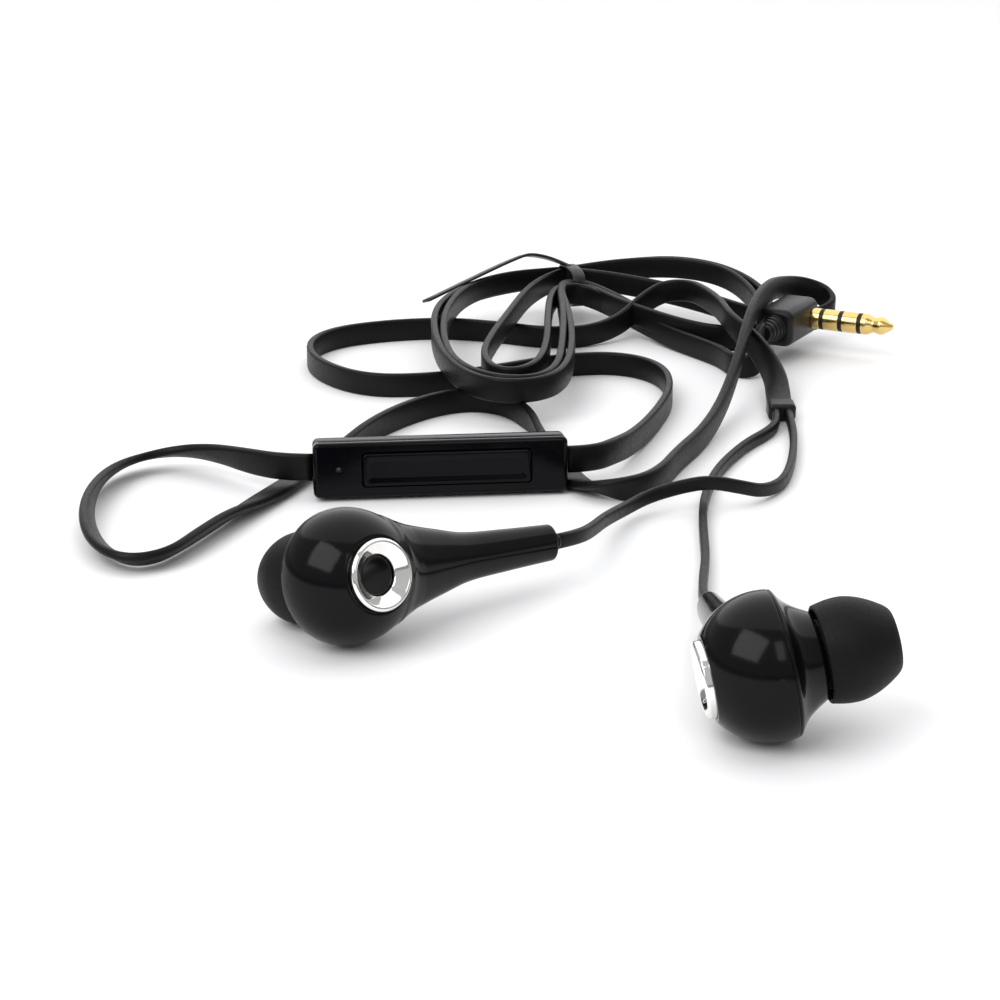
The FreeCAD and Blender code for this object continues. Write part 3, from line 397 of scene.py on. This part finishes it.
def spinPiece(name, corners, place, material, softness=0.1, closed=True, segments=112):
    bm = bmesh.new()
    verts = [bm.verts.new((point.x, point.y, 0)) for point in softProfile(corners, softness, closed)]
    pairs = list(zip(verts, verts[1:])) + ([(verts[-1], verts[0])] if closed else [])
    edges = [bm.edges.new(pair) for pair in pairs]
    bmesh.ops.spin(
        bm, geom=verts + edges, cent=(0, 0, 0), axis=(1, 0, 0), dvec=(0, 0, 0),
        angle=2 * math.pi, steps=segments, use_merge=True)
    return finishMesh(name, bm, place, material)


def roundedRectangle(halfX, halfZ, radius, y, centreX=0.0, steps=6):
    ring = []
    for number, (sx, sz) in enumerate(((1, 1), (-1, 1), (-1, -1), (1, -1))):
        for step in range(steps + 1):
            angle = math.radians(90 * number + 90 * step / steps)
            ring.append(Vector((
                centreX + sx * (halfX - radius) + radius * math.cos(angle), y,
                sz * (halfZ - radius) + radius * math.sin(angle))) * mm)
    return ring


def edgeRings(halfX, halfZ, corner, start, way, rounding, centreX=0.0, steps=5):
    rings = []
    for step in range(steps + 1):
        angle = math.radians(90 * step / steps)
        inset = rounding * (1 - math.sin(angle))
        rings.append(roundedRectangle(
            halfX - inset, halfZ - inset, max(0.08, corner - inset),
            start + way * rounding * (1 - math.cos(angle)), centreX))
    return rings


def turnedPlace(position, heading, lift, roll):
    return (
        Matrix.Translation(Vector(position) * mm) @ Matrix.Rotation(math.radians(heading), 4, "Z")
        @ Matrix.Rotation(math.radians(-lift), 4, "Y") @ Matrix.Rotation(math.radians(roll), 4, "X"))


# surfaces of the hard and soft parts
blackShell = surfaceFinish(
    "blackShell", (0.0020, 0.0018, 0.0024), (0.0029, 0.0026, 0.0033), 0.11, 0.17, 2600, 0.03, 0.00002,
    Specular_IOR_Level=0.15)
remotePlastic = surfaceFinish(
    "remotePlastic", (0.0015, 0.0016, 0.0026), (0.0023, 0.0024, 0.0036), 0.09, 0.16, 2400, 0.04, 0.00002,
    Specular_IOR_Level=0.12)
plugPlastic = surfaceFinish(
    "plugPlastic", (0.004, 0.004, 0.0043), (0.0065, 0.0065, 0.007), 0.32, 0.46, 2400, 0.15, 0.00003,
    Specular_IOR_Level=0.25)
chrome = surfaceFinish(
    "chrome", (0.86, 0.85, 0.83), (0.95, 0.94, 0.92), 0.04, 0.14, 3000, 0.06, 0.00002,
    Metallic=1.0)
capPlastic = surfaceFinish(
    "capPlastic", (0.002, 0.002, 0.0025), (0.004, 0.004, 0.005), 0.12, 0.2, 3000, 0.05, 0.00002,
    Specular_IOR_Level=0.4)
silicone = surfaceFinish(
    "silicone", (0.0030, 0.0027, 0.0027), (0.0050, 0.0044, 0.0044), 0.48, 0.62, 3200, 0.3, 0.00003,
    Specular_IOR_Level=0.15, Sheen_Weight=0.02, Sheen_Roughness=0.4)
gold = surfaceFinish(
    "gold", (0.72, 0.5, 0.16), (0.86, 0.64, 0.26), 0.12, 0.26, 3600, 0.08, 0.00002, Metallic=1.0)
darkInsulator = surfaceFinish(
    "darkInsulator", (0.004, 0.004, 0.004), (0.008, 0.008, 0.008), 0.35, 0.5, 3000, 0.1, 0.00002,
    Specular_IOR_Level=0.3)
steel = surfaceFinish(
    "steel", (0.42, 0.42, 0.43), (0.56, 0.56, 0.57), 0.25, 0.4, 3000, 0.1, 0.00002, Metallic=1.0)
magnetNickel = surfaceFinish(
    "magnetNickel", (0.3, 0.29, 0.27), (0.42, 0.41, 0.39), 0.3, 0.42, 2500, 0.1, 0.00002, Metallic=1.0)
film = surfaceFinish(
    "film", (0.35, 0.33, 0.27), (0.5, 0.47, 0.4), 0.2, 0.35, 2500, 0.1, 0.00002)
board = surfaceFinish(
    "board", (0.01, 0.08, 0.03), (0.02, 0.13, 0.05), 0.3, 0.45, 2500, 0.1, 0.00002)
tieFilm = surfaceFinish(
    "tieFilm", (0.006, 0.006, 0.0065), (0.011, 0.011, 0.012), 0.3, 0.5, 1500, 0.25, 0.00004,
    Specular_IOR_Level=0.45)


def meshGrille(name):
    material, tree, shader = newMaterial(name, Metallic=1.0, Roughness=0.35)
    vector = objectCoordinates(tree)
    cells = addNode(tree, "ShaderNodeTexVoronoi", Scale=3200.0, feature="F1")
    tree.links.new(vector, cells.inputs["Vector"])
    holes = spread(tree, cells.outputs["Distance"], 0.0, 1.0, 0.28, 0.42)
    colour = mixColours(tree, holes, (0.01, 0.01, 0.01), (0.16, 0.16, 0.165))
    tree.links.new(colour, shader.inputs["Base Color"])
    addBump(tree, shader, holes, 0.6, 0.00005)
    return material


grille = meshGrille("grille")
slotMaterials = {
    "shell": blackShell, "ring": chrome, "cap": capPlastic, "steel": steel, "magnet": magnetNickel,
    "film": film, "board": board, "mesh": grille, "ear_tip": silicone, "grommet": cordRubber,
    "remote": remotePlastic, "button": remotePlastic, "cord": cordRubber, "plug": plugPlastic,
    "contact": gold, "insulator": darkInsulator, "tie": tieFilm,
}
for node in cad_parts.values():
    for number, old in enumerate(node.data.materials):
        node.data.materials[number] = slotMaterials[old.name.split(".")[0]]
print("materials ready")

# earbuds
budPlaces = {
    "left": turnedPlace((-25.3, -11.0, 7.2), 131.0, -16.7, 185.0),
    "right": turnedPlace((23.3, -39.2, 8.3), 5.4, 10.9, -9.1),
}
shellPlan = {
    "ball": 7.85, "ballX": -2.3, "seam": 7.748, "seamX": -1.04, "land": 4.6, "landX": -8.66,
    "seatRadius": 4.13, "blend": 0.45,
    "seamFade": 1.6, "landFade": 1.2, "stemFade": 0.8,      # how fast the stem takes over from the ball
    # along the stem: y, middle x, half depth, half height
    "stem": [
        (-9.0, -2.3, 0.3, 0.3), (-2.0, -3.2, 1.2, 2.2), (1.5, -3.7, 3.2, 4.9), (4.2, -3.9, 4.6, 6.15),
        (5.0, -3.9, 4.45, 6.0), (5.7, -3.9, 4.1, 5.7), (6.5, -3.88, 3.83, 5.4), (7.2, -3.87, 3.64, 5.13),
        (8.0, -3.85, 3.47, 4.87), (10.0, -3.8, 3.14, 4.33), (12.0, -3.75, 2.85, 3.85),
        (16.0, -3.75, 2.35, 2.95), (22.1, -3.75, 2.0, 2.53), (29.5, -3.75, 1.6, 2.2),
    ],
    "stemStart": 7.95, "stemEnd": 29.5, "stemStep": 0.43,
    "rays": 60, "endRound": 0.3,
}


def smoothBetween(rows, y):
    ys = [row[0] for row in rows]
    if y <= ys[0]:
        return rows[0][1:]
    if y >= ys[-1]:
        return rows[-1][1:]
    last = max(i for i in range(len(rows) - 1) if ys[i] <= y)
    values = []
    for column in range(1, len(rows[0])):
        p = [rows[min(max(k, 0), len(rows) - 1)][column] for k in (last - 1, last, last + 1, last + 2)]
        q = [ys[min(max(k, 0), len(rows) - 1)] for k in (last - 1, last, last + 1, last + 2)]
        span = q[2] - q[1]
        slopeIn = (p[2] - p[0]) / max(q[2] - q[0], 1e-6)
        slopeOut = (p[3] - p[1]) / max(q[3] - q[1], 1e-6)
        t = (y - q[1]) / span
        values.append(
            (2 * t ** 3 - 3 * t ** 2 + 1) * p[1] + (t ** 3 - 2 * t ** 2 + t) * slopeIn * span
            + (3 * t ** 2 - 2 * t ** 3) * p[2] + (t ** 3 - t ** 2) * slopeOut * span)
    return values


def eased(value):
    value = min(1.0, max(0.0, value))
    return value * value * (3 - 2 * value)


def rearShellRing(plan, y, half):
    ballRadius, ballX = plan["ball"], plan["ballX"]
    slice2 = ballRadius ** 2 - y ** 2
    middle, depth, height = smoothBetween(plan["stem"], y)
    centre = ballX + (middle - ballX) * eased((y + 3.0) / 6.0)
    seamAt = math.sqrt(max(plan["seam"] ** 2 - y ** 2, 0.0))
    landAt = math.sqrt(max(plan["land"] ** 2 - y ** 2, 0.0))
    first = math.atan2(seamAt, plan["seamX"] - centre) if seamAt > 0 else 0.0
    final = math.atan2(landAt, plan["landX"] - centre) if landAt > 0 else math.pi
    offset = ballX - centre
    column = []
    for number in range(plan["rays"] + 1):
        angle = first + (final - first) * number / plan["rays"]
        c, s = math.cos(angle), math.sin(angle)
        ellipse = 1 / math.sqrt((c / depth) ** 2 + (s / height) ** 2)
        reach = ellipse
        inside = slice2 - (offset * s) ** 2
        if slice2 > 0 and inside > 0:
            ball = offset * c + math.sqrt(inside)
            bx, bz = centre + ball * c, ball * s
            blend = plan["blend"] * min(1.0, ball / 2)
            mixed = 0.5 * (ball + ellipse + math.sqrt((ball - ellipse) ** 2 + blend ** 2))
            rho = math.hypot(y, bz)
            near = min(
                math.hypot(bx - plan["seamX"], rho - plan["seam"]) / plan["seamFade"],
                math.hypot(bx - plan["landX"], rho - plan["land"]) / plan["landFade"])
            past = min(1.0, max(0.0, (y - plan["seam"]) / (ballRadius - plan["seam"])))
            outer = eased((ellipse - ball) / plan["stemFade"])
            reach = ball + (mixed - ball) * max(eased(near), outer, past)
        x = centre + reach * c
        column.append(Vector((min(x, plan["seamX"]) if seamAt > 0 else x, y, half * reach * s)) * mm)
    return column


def rearShell(plan):
    roundFrom = plan["stemEnd"] - plan["endRound"]
    ys = {round(plan["seam"] * math.sin(math.radians(k)), 3) for k in range(-88, 89, 3)}
    ys |= {round(plan["land"] * math.sin(math.radians(k)), 3) for k in range(-90, 91, 6)}
    ys |= {-7.845, -7.83, -7.81, -7.78, -plan["seam"]}      # close rows at the ball's two ends
    ys |= {plan["seam"], 7.78, 7.81, plan["ball"]}
    count = int((roundFrom - 0.1 - plan["stemStart"]) / plan["stemStep"]) + 1
    ys |= {round(plan["stemStart"] + plan["stemStep"] * k, 3) for k in range(count)}
    rows = sorted(ys | {round(roundFrom, 3)})
    rows = [y for number, y in enumerate(rows) if number == 0 or y - rows[number - 1] > 0.02]
    bm = bmesh.new()
    for half in (1, -1):
        grid = [[bm.verts.new(point) for point in rearShellRing(plan, y, half)] for y in rows]
        middle, depth, height = smoothBetween(plan["stem"], plan["stemEnd"])
        for step in range(1, 5):
            angle = math.radians(90 * step / 4)
            inset = plan["endRound"] * (1 - math.cos(angle))
            y = roundFrom + plan["endRound"] * math.sin(angle)
            ring = []
            for number in range(plan["rays"] + 1):
                turn = math.pi * number / plan["rays"]
                ring.append(bm.verts.new(Vector((
                    middle + (depth - inset) * math.cos(turn), y,
                    half * (height - inset) * math.sin(turn))) * mm))
            grid.append(ring)
        for low, high in zip(grid, grid[1:]):
            for number in range(plan["rays"]):
                bm.faces.new((low[number], low[number + 1], high[number + 1], high[number]))
    bmesh.ops.remove_doubles(bm, verts=bm.verts, dist=0.000004)
    bmesh.ops.dissolve_degenerate(bm, edges=bm.edges, dist=0.000002)
    filled = bmesh.ops.holes_fill(bm, edges=[e for e in bm.edges if e.is_boundary], sides=0)["faces"]
    bmesh.ops.recalc_face_normals(bm, faces=bm.faces)
    flatLand = plan["land"] - plan["seatRadius"] - 0.14
    for face in list(filled):
        if face.calc_center_median().x < (plan["landX"] + 0.3) * mm:
            # rounded lip, flat land, rounded edge, then the seat's wall
            for thickness, sink in ((0.07, -0.04), (flatLand, 0.0), (0.07, 0.06), (0.01, 0.8)):
                bmesh.ops.inset_region(bm, faces=[face], thickness=thickness * mm, use_even_offset=True)
                for vert in face.verts:
                    vert.co.x += sink * mm
    return bm


for side, place in budPlaces.items():
    shell = finishMesh(side + "RearShell", rearShell(shellPlan), place, blackShell)
    claim(shell, side + "_rear_shell")
    front = spinPiece(side + "FrontShell", [
        (-1.02, 6.2), (-1.02, 7.62, 0.05), (-0.96, 7.70, 0.05), (-0.72, 7.66, 0.1), (-0.5, 7.36, 0.15),
        (-0.1, 6.72, 0.5), (0.45, 6.1, 0.5), (1.1, 5.6, 0.5), (1.8, 5.15, 0.5), (2.45, 4.8, 0.3),
        (2.8, 4.6, 0.12), (2.8, 2.6, 0.08), (7.3, 2.6, 0.08), (7.6, 2.8, 0.06), (8.1, 2.8, 0.06),
        (8.4, 2.6, 0.05), (8.4, 1.9, 0.05), (2.7, 1.9), (-0.4, 5.6)], place, blackShell)
    claim(front, side + "_front_shell")
    ring = spinPiece(side + "TrimRing", [
        (-7.78, 2.35), (-7.78, 4.1), (-9.36, 4.1, 0.08), (-9.61, 3.86, 0.1), (-9.61, 3.64, 0.1),
        (-9.15, 3.1, 0.3), (-8.55, 2.4, 0.08), (-8.45, 2.33, 0.05)], place, chrome, 0.06)
    claim(ring, side + "_trim_ring")
    cap = spinPiece(side + "CenterCap", [
        (-7.77, 0), (-7.77, 2.28), (-8.1, 2.28, 0.08), (-8.24, 2.1, 0.1), (-8.1, 1.2, 0.5), (-8.03, 0)],
        place, capPlastic, 0.06, closed=False)
    claim(cap, side + "_center_cap")
    tip = spinPiece(side + "EarTip", [
        (3.12, 2.85), (8.55, 2.85), (8.55, 2.2), (10.75, 2.2, 0.12), (10.9, 2.4, 0.12), (10.9, 3.1, 0.25),
        (10.42, 3.62, 0.35), (9.2, 4.42, 0.7), (7.9, 5.05, 0.7), (6.3, 5.5, 0.8), (4.6, 5.42, 0.7),
        (3.12, 5.1, 0.12), (3.1, 4.72, 0.12), (4.6, 4.95, 0.6), (6.3, 4.95, 0.7), (7.3, 4.5, 0.6),
        (7.9, 3.7, 0.4), (3.12, 3.62, 0.1)], place, silicone)
    claim(tip, side + "_ear_tip", side + "_tip")
print("earbuds ready")

# remote
remotePlace = turnedPlace((-14.6, 42.65, 4.04), 6.0, 0.0, -6.7)
remotePlan = {
    "half": (17.3, 3.75), "corner": 0.8, "front": -2.7, "parting": -0.9, "back": 2.7, "rounding": 0.55,
    "button": (11.35, 2.2, 0.5), "buttonX": 0.8, "gap": 0.15, "proud": 0.45,
    "microphone": (-13.85, -2.2, 0.0), "holeRadius": 0.45, "holeDepth": 4.0,
}


def remoteHalf(plan):
    halfX, halfZ = plan["half"]
    openX, openZ = plan["button"][0] + plan["gap"], plan["button"][1] + plan["gap"]
    rings = [
        roundedRectangle(openX, openZ, 0.6, plan["front"] + 1.5, plan["buttonX"]),
        roundedRectangle(openX, openZ, 0.6, plan["front"] + 0.12, plan["buttonX"]),
        roundedRectangle(openX + 0.04, openZ + 0.04, 0.64, plan["front"] + 0.04, plan["buttonX"]),
        roundedRectangle(openX + 0.12, openZ + 0.12, 0.7, plan["front"], plan["buttonX"]),
    ]
    rings += edgeRings(halfX, halfZ, plan["corner"], plan["front"], 1, plan["rounding"])
    rings += [
        roundedRectangle(halfX, halfZ, plan["corner"], plan["parting"] - 0.1),
        roundedRectangle(halfX - 0.03, halfZ - 0.03, plan["corner"], plan["parting"] - 0.03),
        roundedRectangle(halfX - 0.1, halfZ - 0.1, plan["corner"], plan["parting"]),
        roundedRectangle(openX + 0.5, openZ + 0.5, 0.6, plan["parting"], plan["buttonX"]),
    ]
    bm = bmesh.new()
    bridgeRings(bm, rings, joinEnds=True)
    return bm


def remoteBack(plan):
    halfX, halfZ = plan["half"]
    rings = edgeRings(halfX, halfZ, plan["corner"], plan["back"], -1, plan["rounding"])
    rings += [
        roundedRectangle(halfX, halfZ, plan["corner"], plan["parting"] + 0.1),
        roundedRectangle(halfX - 0.03, halfZ - 0.03, plan["corner"], plan["parting"] + 0.03),
        roundedRectangle(halfX - 0.1, halfZ - 0.1, plan["corner"], plan["parting"]),
    ]
    bm = bmesh.new()
    bridgeRings(bm, rings, closeFirst=True, closeLast=True)
    return bm


def remoteButton(plan):
    halfX, halfZ, corner = plan["button"]
    front = plan["front"] - plan["proud"]
    rings = [roundedRectangle(halfX - 1.1, halfZ - 1.1, 0.3, front + 0.12, plan["buttonX"]),
             roundedRectangle(halfX - 0.6, halfZ - 0.6, 0.4, front + 0.02, plan["buttonX"])]
    rings += edgeRings(halfX, halfZ, corner, front, 1, 0.22, plan["buttonX"])
    rings += [roundedRectangle(halfX, halfZ, corner, plan["front"] + 1.2, plan["buttonX"])]
    bm = bmesh.new()
    bridgeRings(bm, rings, closeFirst=True, closeLast=True)
    return bm


def cutHole(piece, centre, radius, depth, place):
    bm = bmesh.new()
    bmesh.ops.create_cone(
        bm, cap_ends=True, segments=32, radius1=radius * mm, radius2=radius * mm, depth=depth * mm,
        matrix=Matrix.Translation(Vector(centre) * mm) @ Matrix.Rotation(math.radians(90), 4, "X"))
    bmesh.ops.transform(bm, matrix=place, verts=bm.verts)
    tool = meshFromBmesh("holeTool", bm, False)
    cutter = piece.modifiers.new("hole", "BOOLEAN")
    cutter.operation = "DIFFERENCE"
    cutter.solver = "EXACT"
    cutter.object = tool
    bpy.context.view_layer.update()
    depsgraph = bpy.context.evaluated_depsgraph_get()
    mesh = bpy.data.meshes.new_from_object(piece.evaluated_get(depsgraph))
    piece.modifiers.clear()
    piece.data = mesh
    level = place.to_3x3() @ Vector((0, 1, 0))
    for face in mesh.polygons:
        face.use_smooth = abs(face.normal.dot(level)) < 0.999
    bpy.data.objects.remove(tool)


remoteFront = finishMesh("remoteFrontShell", remoteHalf(remotePlan), remotePlace, remotePlastic)
cutHole(remoteFront, remotePlan["microphone"], remotePlan["holeRadius"], remotePlan["holeDepth"], remotePlace)
claim(remoteFront, "remote_front_shell")
claim(finishMesh("remoteBackShell", remoteBack(remotePlan), remotePlace, remotePlastic),
      "remote_back_shell")
claim(finishMesh("remoteButtonBar", remoteButton(remotePlan), remotePlace, remotePlastic),
      "remote_button", "button")
print("remote ready")

# plug
plugPlace = turnedPlace((46.2, 119.5, 6.0), -28.1, 0.0, 0.0)
plugPlan = {"half": (3.3, 3.1), "corner": 1.6, "middleX": -3.3, "low": -9.9, "high": 3.1}
plugRings = edgeRings(
    *plugPlan["half"], plugPlan["corner"], plugPlan["low"], 1, 1.0, plugPlan["middleX"])
plugRings += edgeRings(
    *plugPlan["half"], plugPlan["corner"], plugPlan["high"], -1, 1.5, plugPlan["middleX"])[::-1]
bm = bmesh.new()
bridgeRings(bm, plugRings, closeFirst=True, closeLast=True)
claim(finishMesh("plugBody", bm, plugPlace, plugPlastic), "plug_body")
reliefStart = Vector((plugPlan["middleX"], plugPlan["low"] + 0.05, 0)) * mm
reliefPlace = plugPlace @ Matrix.Translation(reliefStart) @ Matrix.Rotation(math.radians(-90), 4, "Z")
ribs = [(0, 0), (0, 2.3)]
for rib in range(4):
    start = 0.35 + rib * 1.05
    radius = 2.25 - 0.2 * rib
    ribs += [(start, radius), (start + 0.1, radius - 0.35),
             (start + 0.4, radius - 0.4), (start + 0.5, radius - 0.12)]
ribs += [(4.5, 1.32), (4.5, 0)]
claim(spinPiece("plugRelief", ribs, reliefPlace, plugPlastic, 0.08, closed=False, segments=64),
      "plug_strain_relief")
pinRadius = 1.75
pinPieces = {
    "plugSleeve": ("plug_sleeve", [(0.0, 0), (0.0, pinRadius), (1.5, pinRadius), (1.5, 0)]),
    "plugRingTwo": ("plug_ring_two", [(2.2, 0), (2.2, pinRadius), (4.8, pinRadius), (4.8, 0)]),
    "plugRingOne": ("plug_ring_one", [(5.5, 0), (5.5, pinRadius), (8.1, pinRadius), (8.1, 0)]),
    "plugTip": ("plug_tip", [
        (8.8, 0), (8.8, pinRadius), (9.7, pinRadius, 0.2), (10.7, 1.2, 0.3), (12.1, 1.55, 0.4),
        (13.7, 0.6, 0.25), (14.0, 0.3, 0.15), (14.0, 0)]),
}
for name, (node, outline) in pinPieces.items():
    claim(spinPiece(name, outline, plugPlace, gold, 0.07, closed=False, segments=64), node)
print("plug ready")


# tie
tieBase = turnedPlace((6.6, 143.8, 0.0), 17.0, 0.0, 0.0)
tiePlan = {
    "section": (0.0005, 0.0023, 0.0002),
    "ringX": 1.3,
    # across the hank and up, in millimetres from the base
    "ring": [(0.0, 4.9), (0.2, 2.5), (2.2, 1.9), (4.6, 1.8), (7.2, 2.0), (9.1, 2.8), (9.4, 5.2),
             (9.2, 7.4), (7.0, 8.3), (4.6, 8.4), (2.0, 8.2), (0.2, 7.2)],
    "tail": [(0.0066, 0.1496, 0.0080, -60), (0.0046, 0.1506, 0.0088, -66), (0.0014, 0.1506, 0.0099, -72),
             (-0.0016, 0.1494, 0.0105, -72), (-0.0034, 0.1478, 0.0102, -72), (-0.0070, 0.1446, 0.0093, -72),
             (-0.0130, 0.1388, 0.0076, -72), (-0.0192, 0.1330, 0.0058, -72)],
}
tieSection = flatSection("tieSection", *tiePlan["section"])
ringCorners = [tieBase @ (Vector((tiePlan["ringX"], y, z)) * mm) for y, z in tiePlan["ring"]]
ringCorners = [(*corner, 90) for corner in ringCorners + ringCorners[:2]]
tieRing, _ = layCord("tieRing", ringCorners, tieSection)
tieTail, _ = layCord("tieTail", tiePlan["tail"], tieSection)
bm = bmesh.new()
bm.from_mesh(tieRing.data)
bm.from_mesh(tieTail.data)
bpy.data.objects.remove(tieRing)
bpy.data.objects.remove(tieTail)
bpy.data.objects.remove(tieSection)
claim(finishMesh("tieStrip", bm, Matrix(), tieFilm), "twist_tie")

# splitter
splitPlan = {"half": (2.1, 1.3), "corner": 0.7, "middle": (36.3, 79.3, 1.42), "long": 2.0}
splitPlace = Matrix.Translation(Vector(splitPlan["middle"]) * mm)
splitRings = edgeRings(*splitPlan["half"], splitPlan["corner"], -splitPlan["long"], 1, 0.6)
splitRings += edgeRings(*splitPlan["half"], splitPlan["corner"], splitPlan["long"], -1, 0.6)[::-1]
bm = bmesh.new()
bridgeRings(bm, splitRings, closeFirst=True, closeLast=True)
claim(finishMesh("splitterBlock", bm, splitPlace, plugPlastic), "cable_split")
print("tie and splitter ready")


# floor and light
floorPlan = {"size": 6.0, "colour": (0.92, 0.92, 0.93, 1), "rough": 0.6}
floorMesh = bmesh.new()
bmesh.ops.create_grid(floorMesh, x_segments=1, y_segments=1, size=floorPlan["size"] / 2)
floor = meshFromBmesh("floor", floorMesh)
floorMaterial, _, _ = newMaterial(
    "floorPaper", Base_Color=floorPlan["colour"], Roughness=floorPlan["rough"], Specular_IOR_Level=0.2)
floor.data.materials.append(floorMaterial)

lightPlan = {
    "world": (0.99, 0.995, 1.0, 1), "worldStrength": 0.25,
    "suns": [("backSky", (0.1, 0.75, 1.0), 1.75, 100), ("topSky", (0.0, 0.0, 1.0), 0.75, 165)],
    "lamps": [
        # name, place, aim, size, power
        ("leftWindow", (-0.50, -0.46, 0.68), (0, 0, 0), (0.78, 0.66), 5.6),
        ("rightWindow", (0.20, -0.70, 0.66), (0.02, 0, 0), (0.2, 0.46), 0.7),
    ],
}
world = bpy.data.worlds.new("studio")
world.use_nodes = True
world.node_tree.nodes["Background"].inputs["Color"].default_value = lightPlan["world"]
world.node_tree.nodes["Background"].inputs["Strength"].default_value = lightPlan["worldStrength"]
scene.world = world
for lampName, source, strength, angle in lightPlan["suns"]:
    lampData = bpy.data.lights.new(lampName, "SUN")
    lampData.energy = strength
    lampData.angle = math.radians(angle)
    lamp = linkObject(lampName, lampData)
    lamp.rotation_euler = Vector(source).to_track_quat("Z", "Y").to_euler()
for lampName, place, aim, (width, height), power in lightPlan["lamps"]:
    lampData = bpy.data.lights.new(lampName, "AREA")
    lampData.shape = "RECTANGLE"
    lampData.size = width
    lampData.size_y = height
    lampData.energy = power
    lamp = linkObject(lampName, lampData)
    lamp.location = place
    lamp.rotation_euler = (Vector(aim) - Vector(place)).to_track_quat("-Z", "Y").to_euler()
scene.view_settings.view_transform = "Standard"
print("floor and light ready")
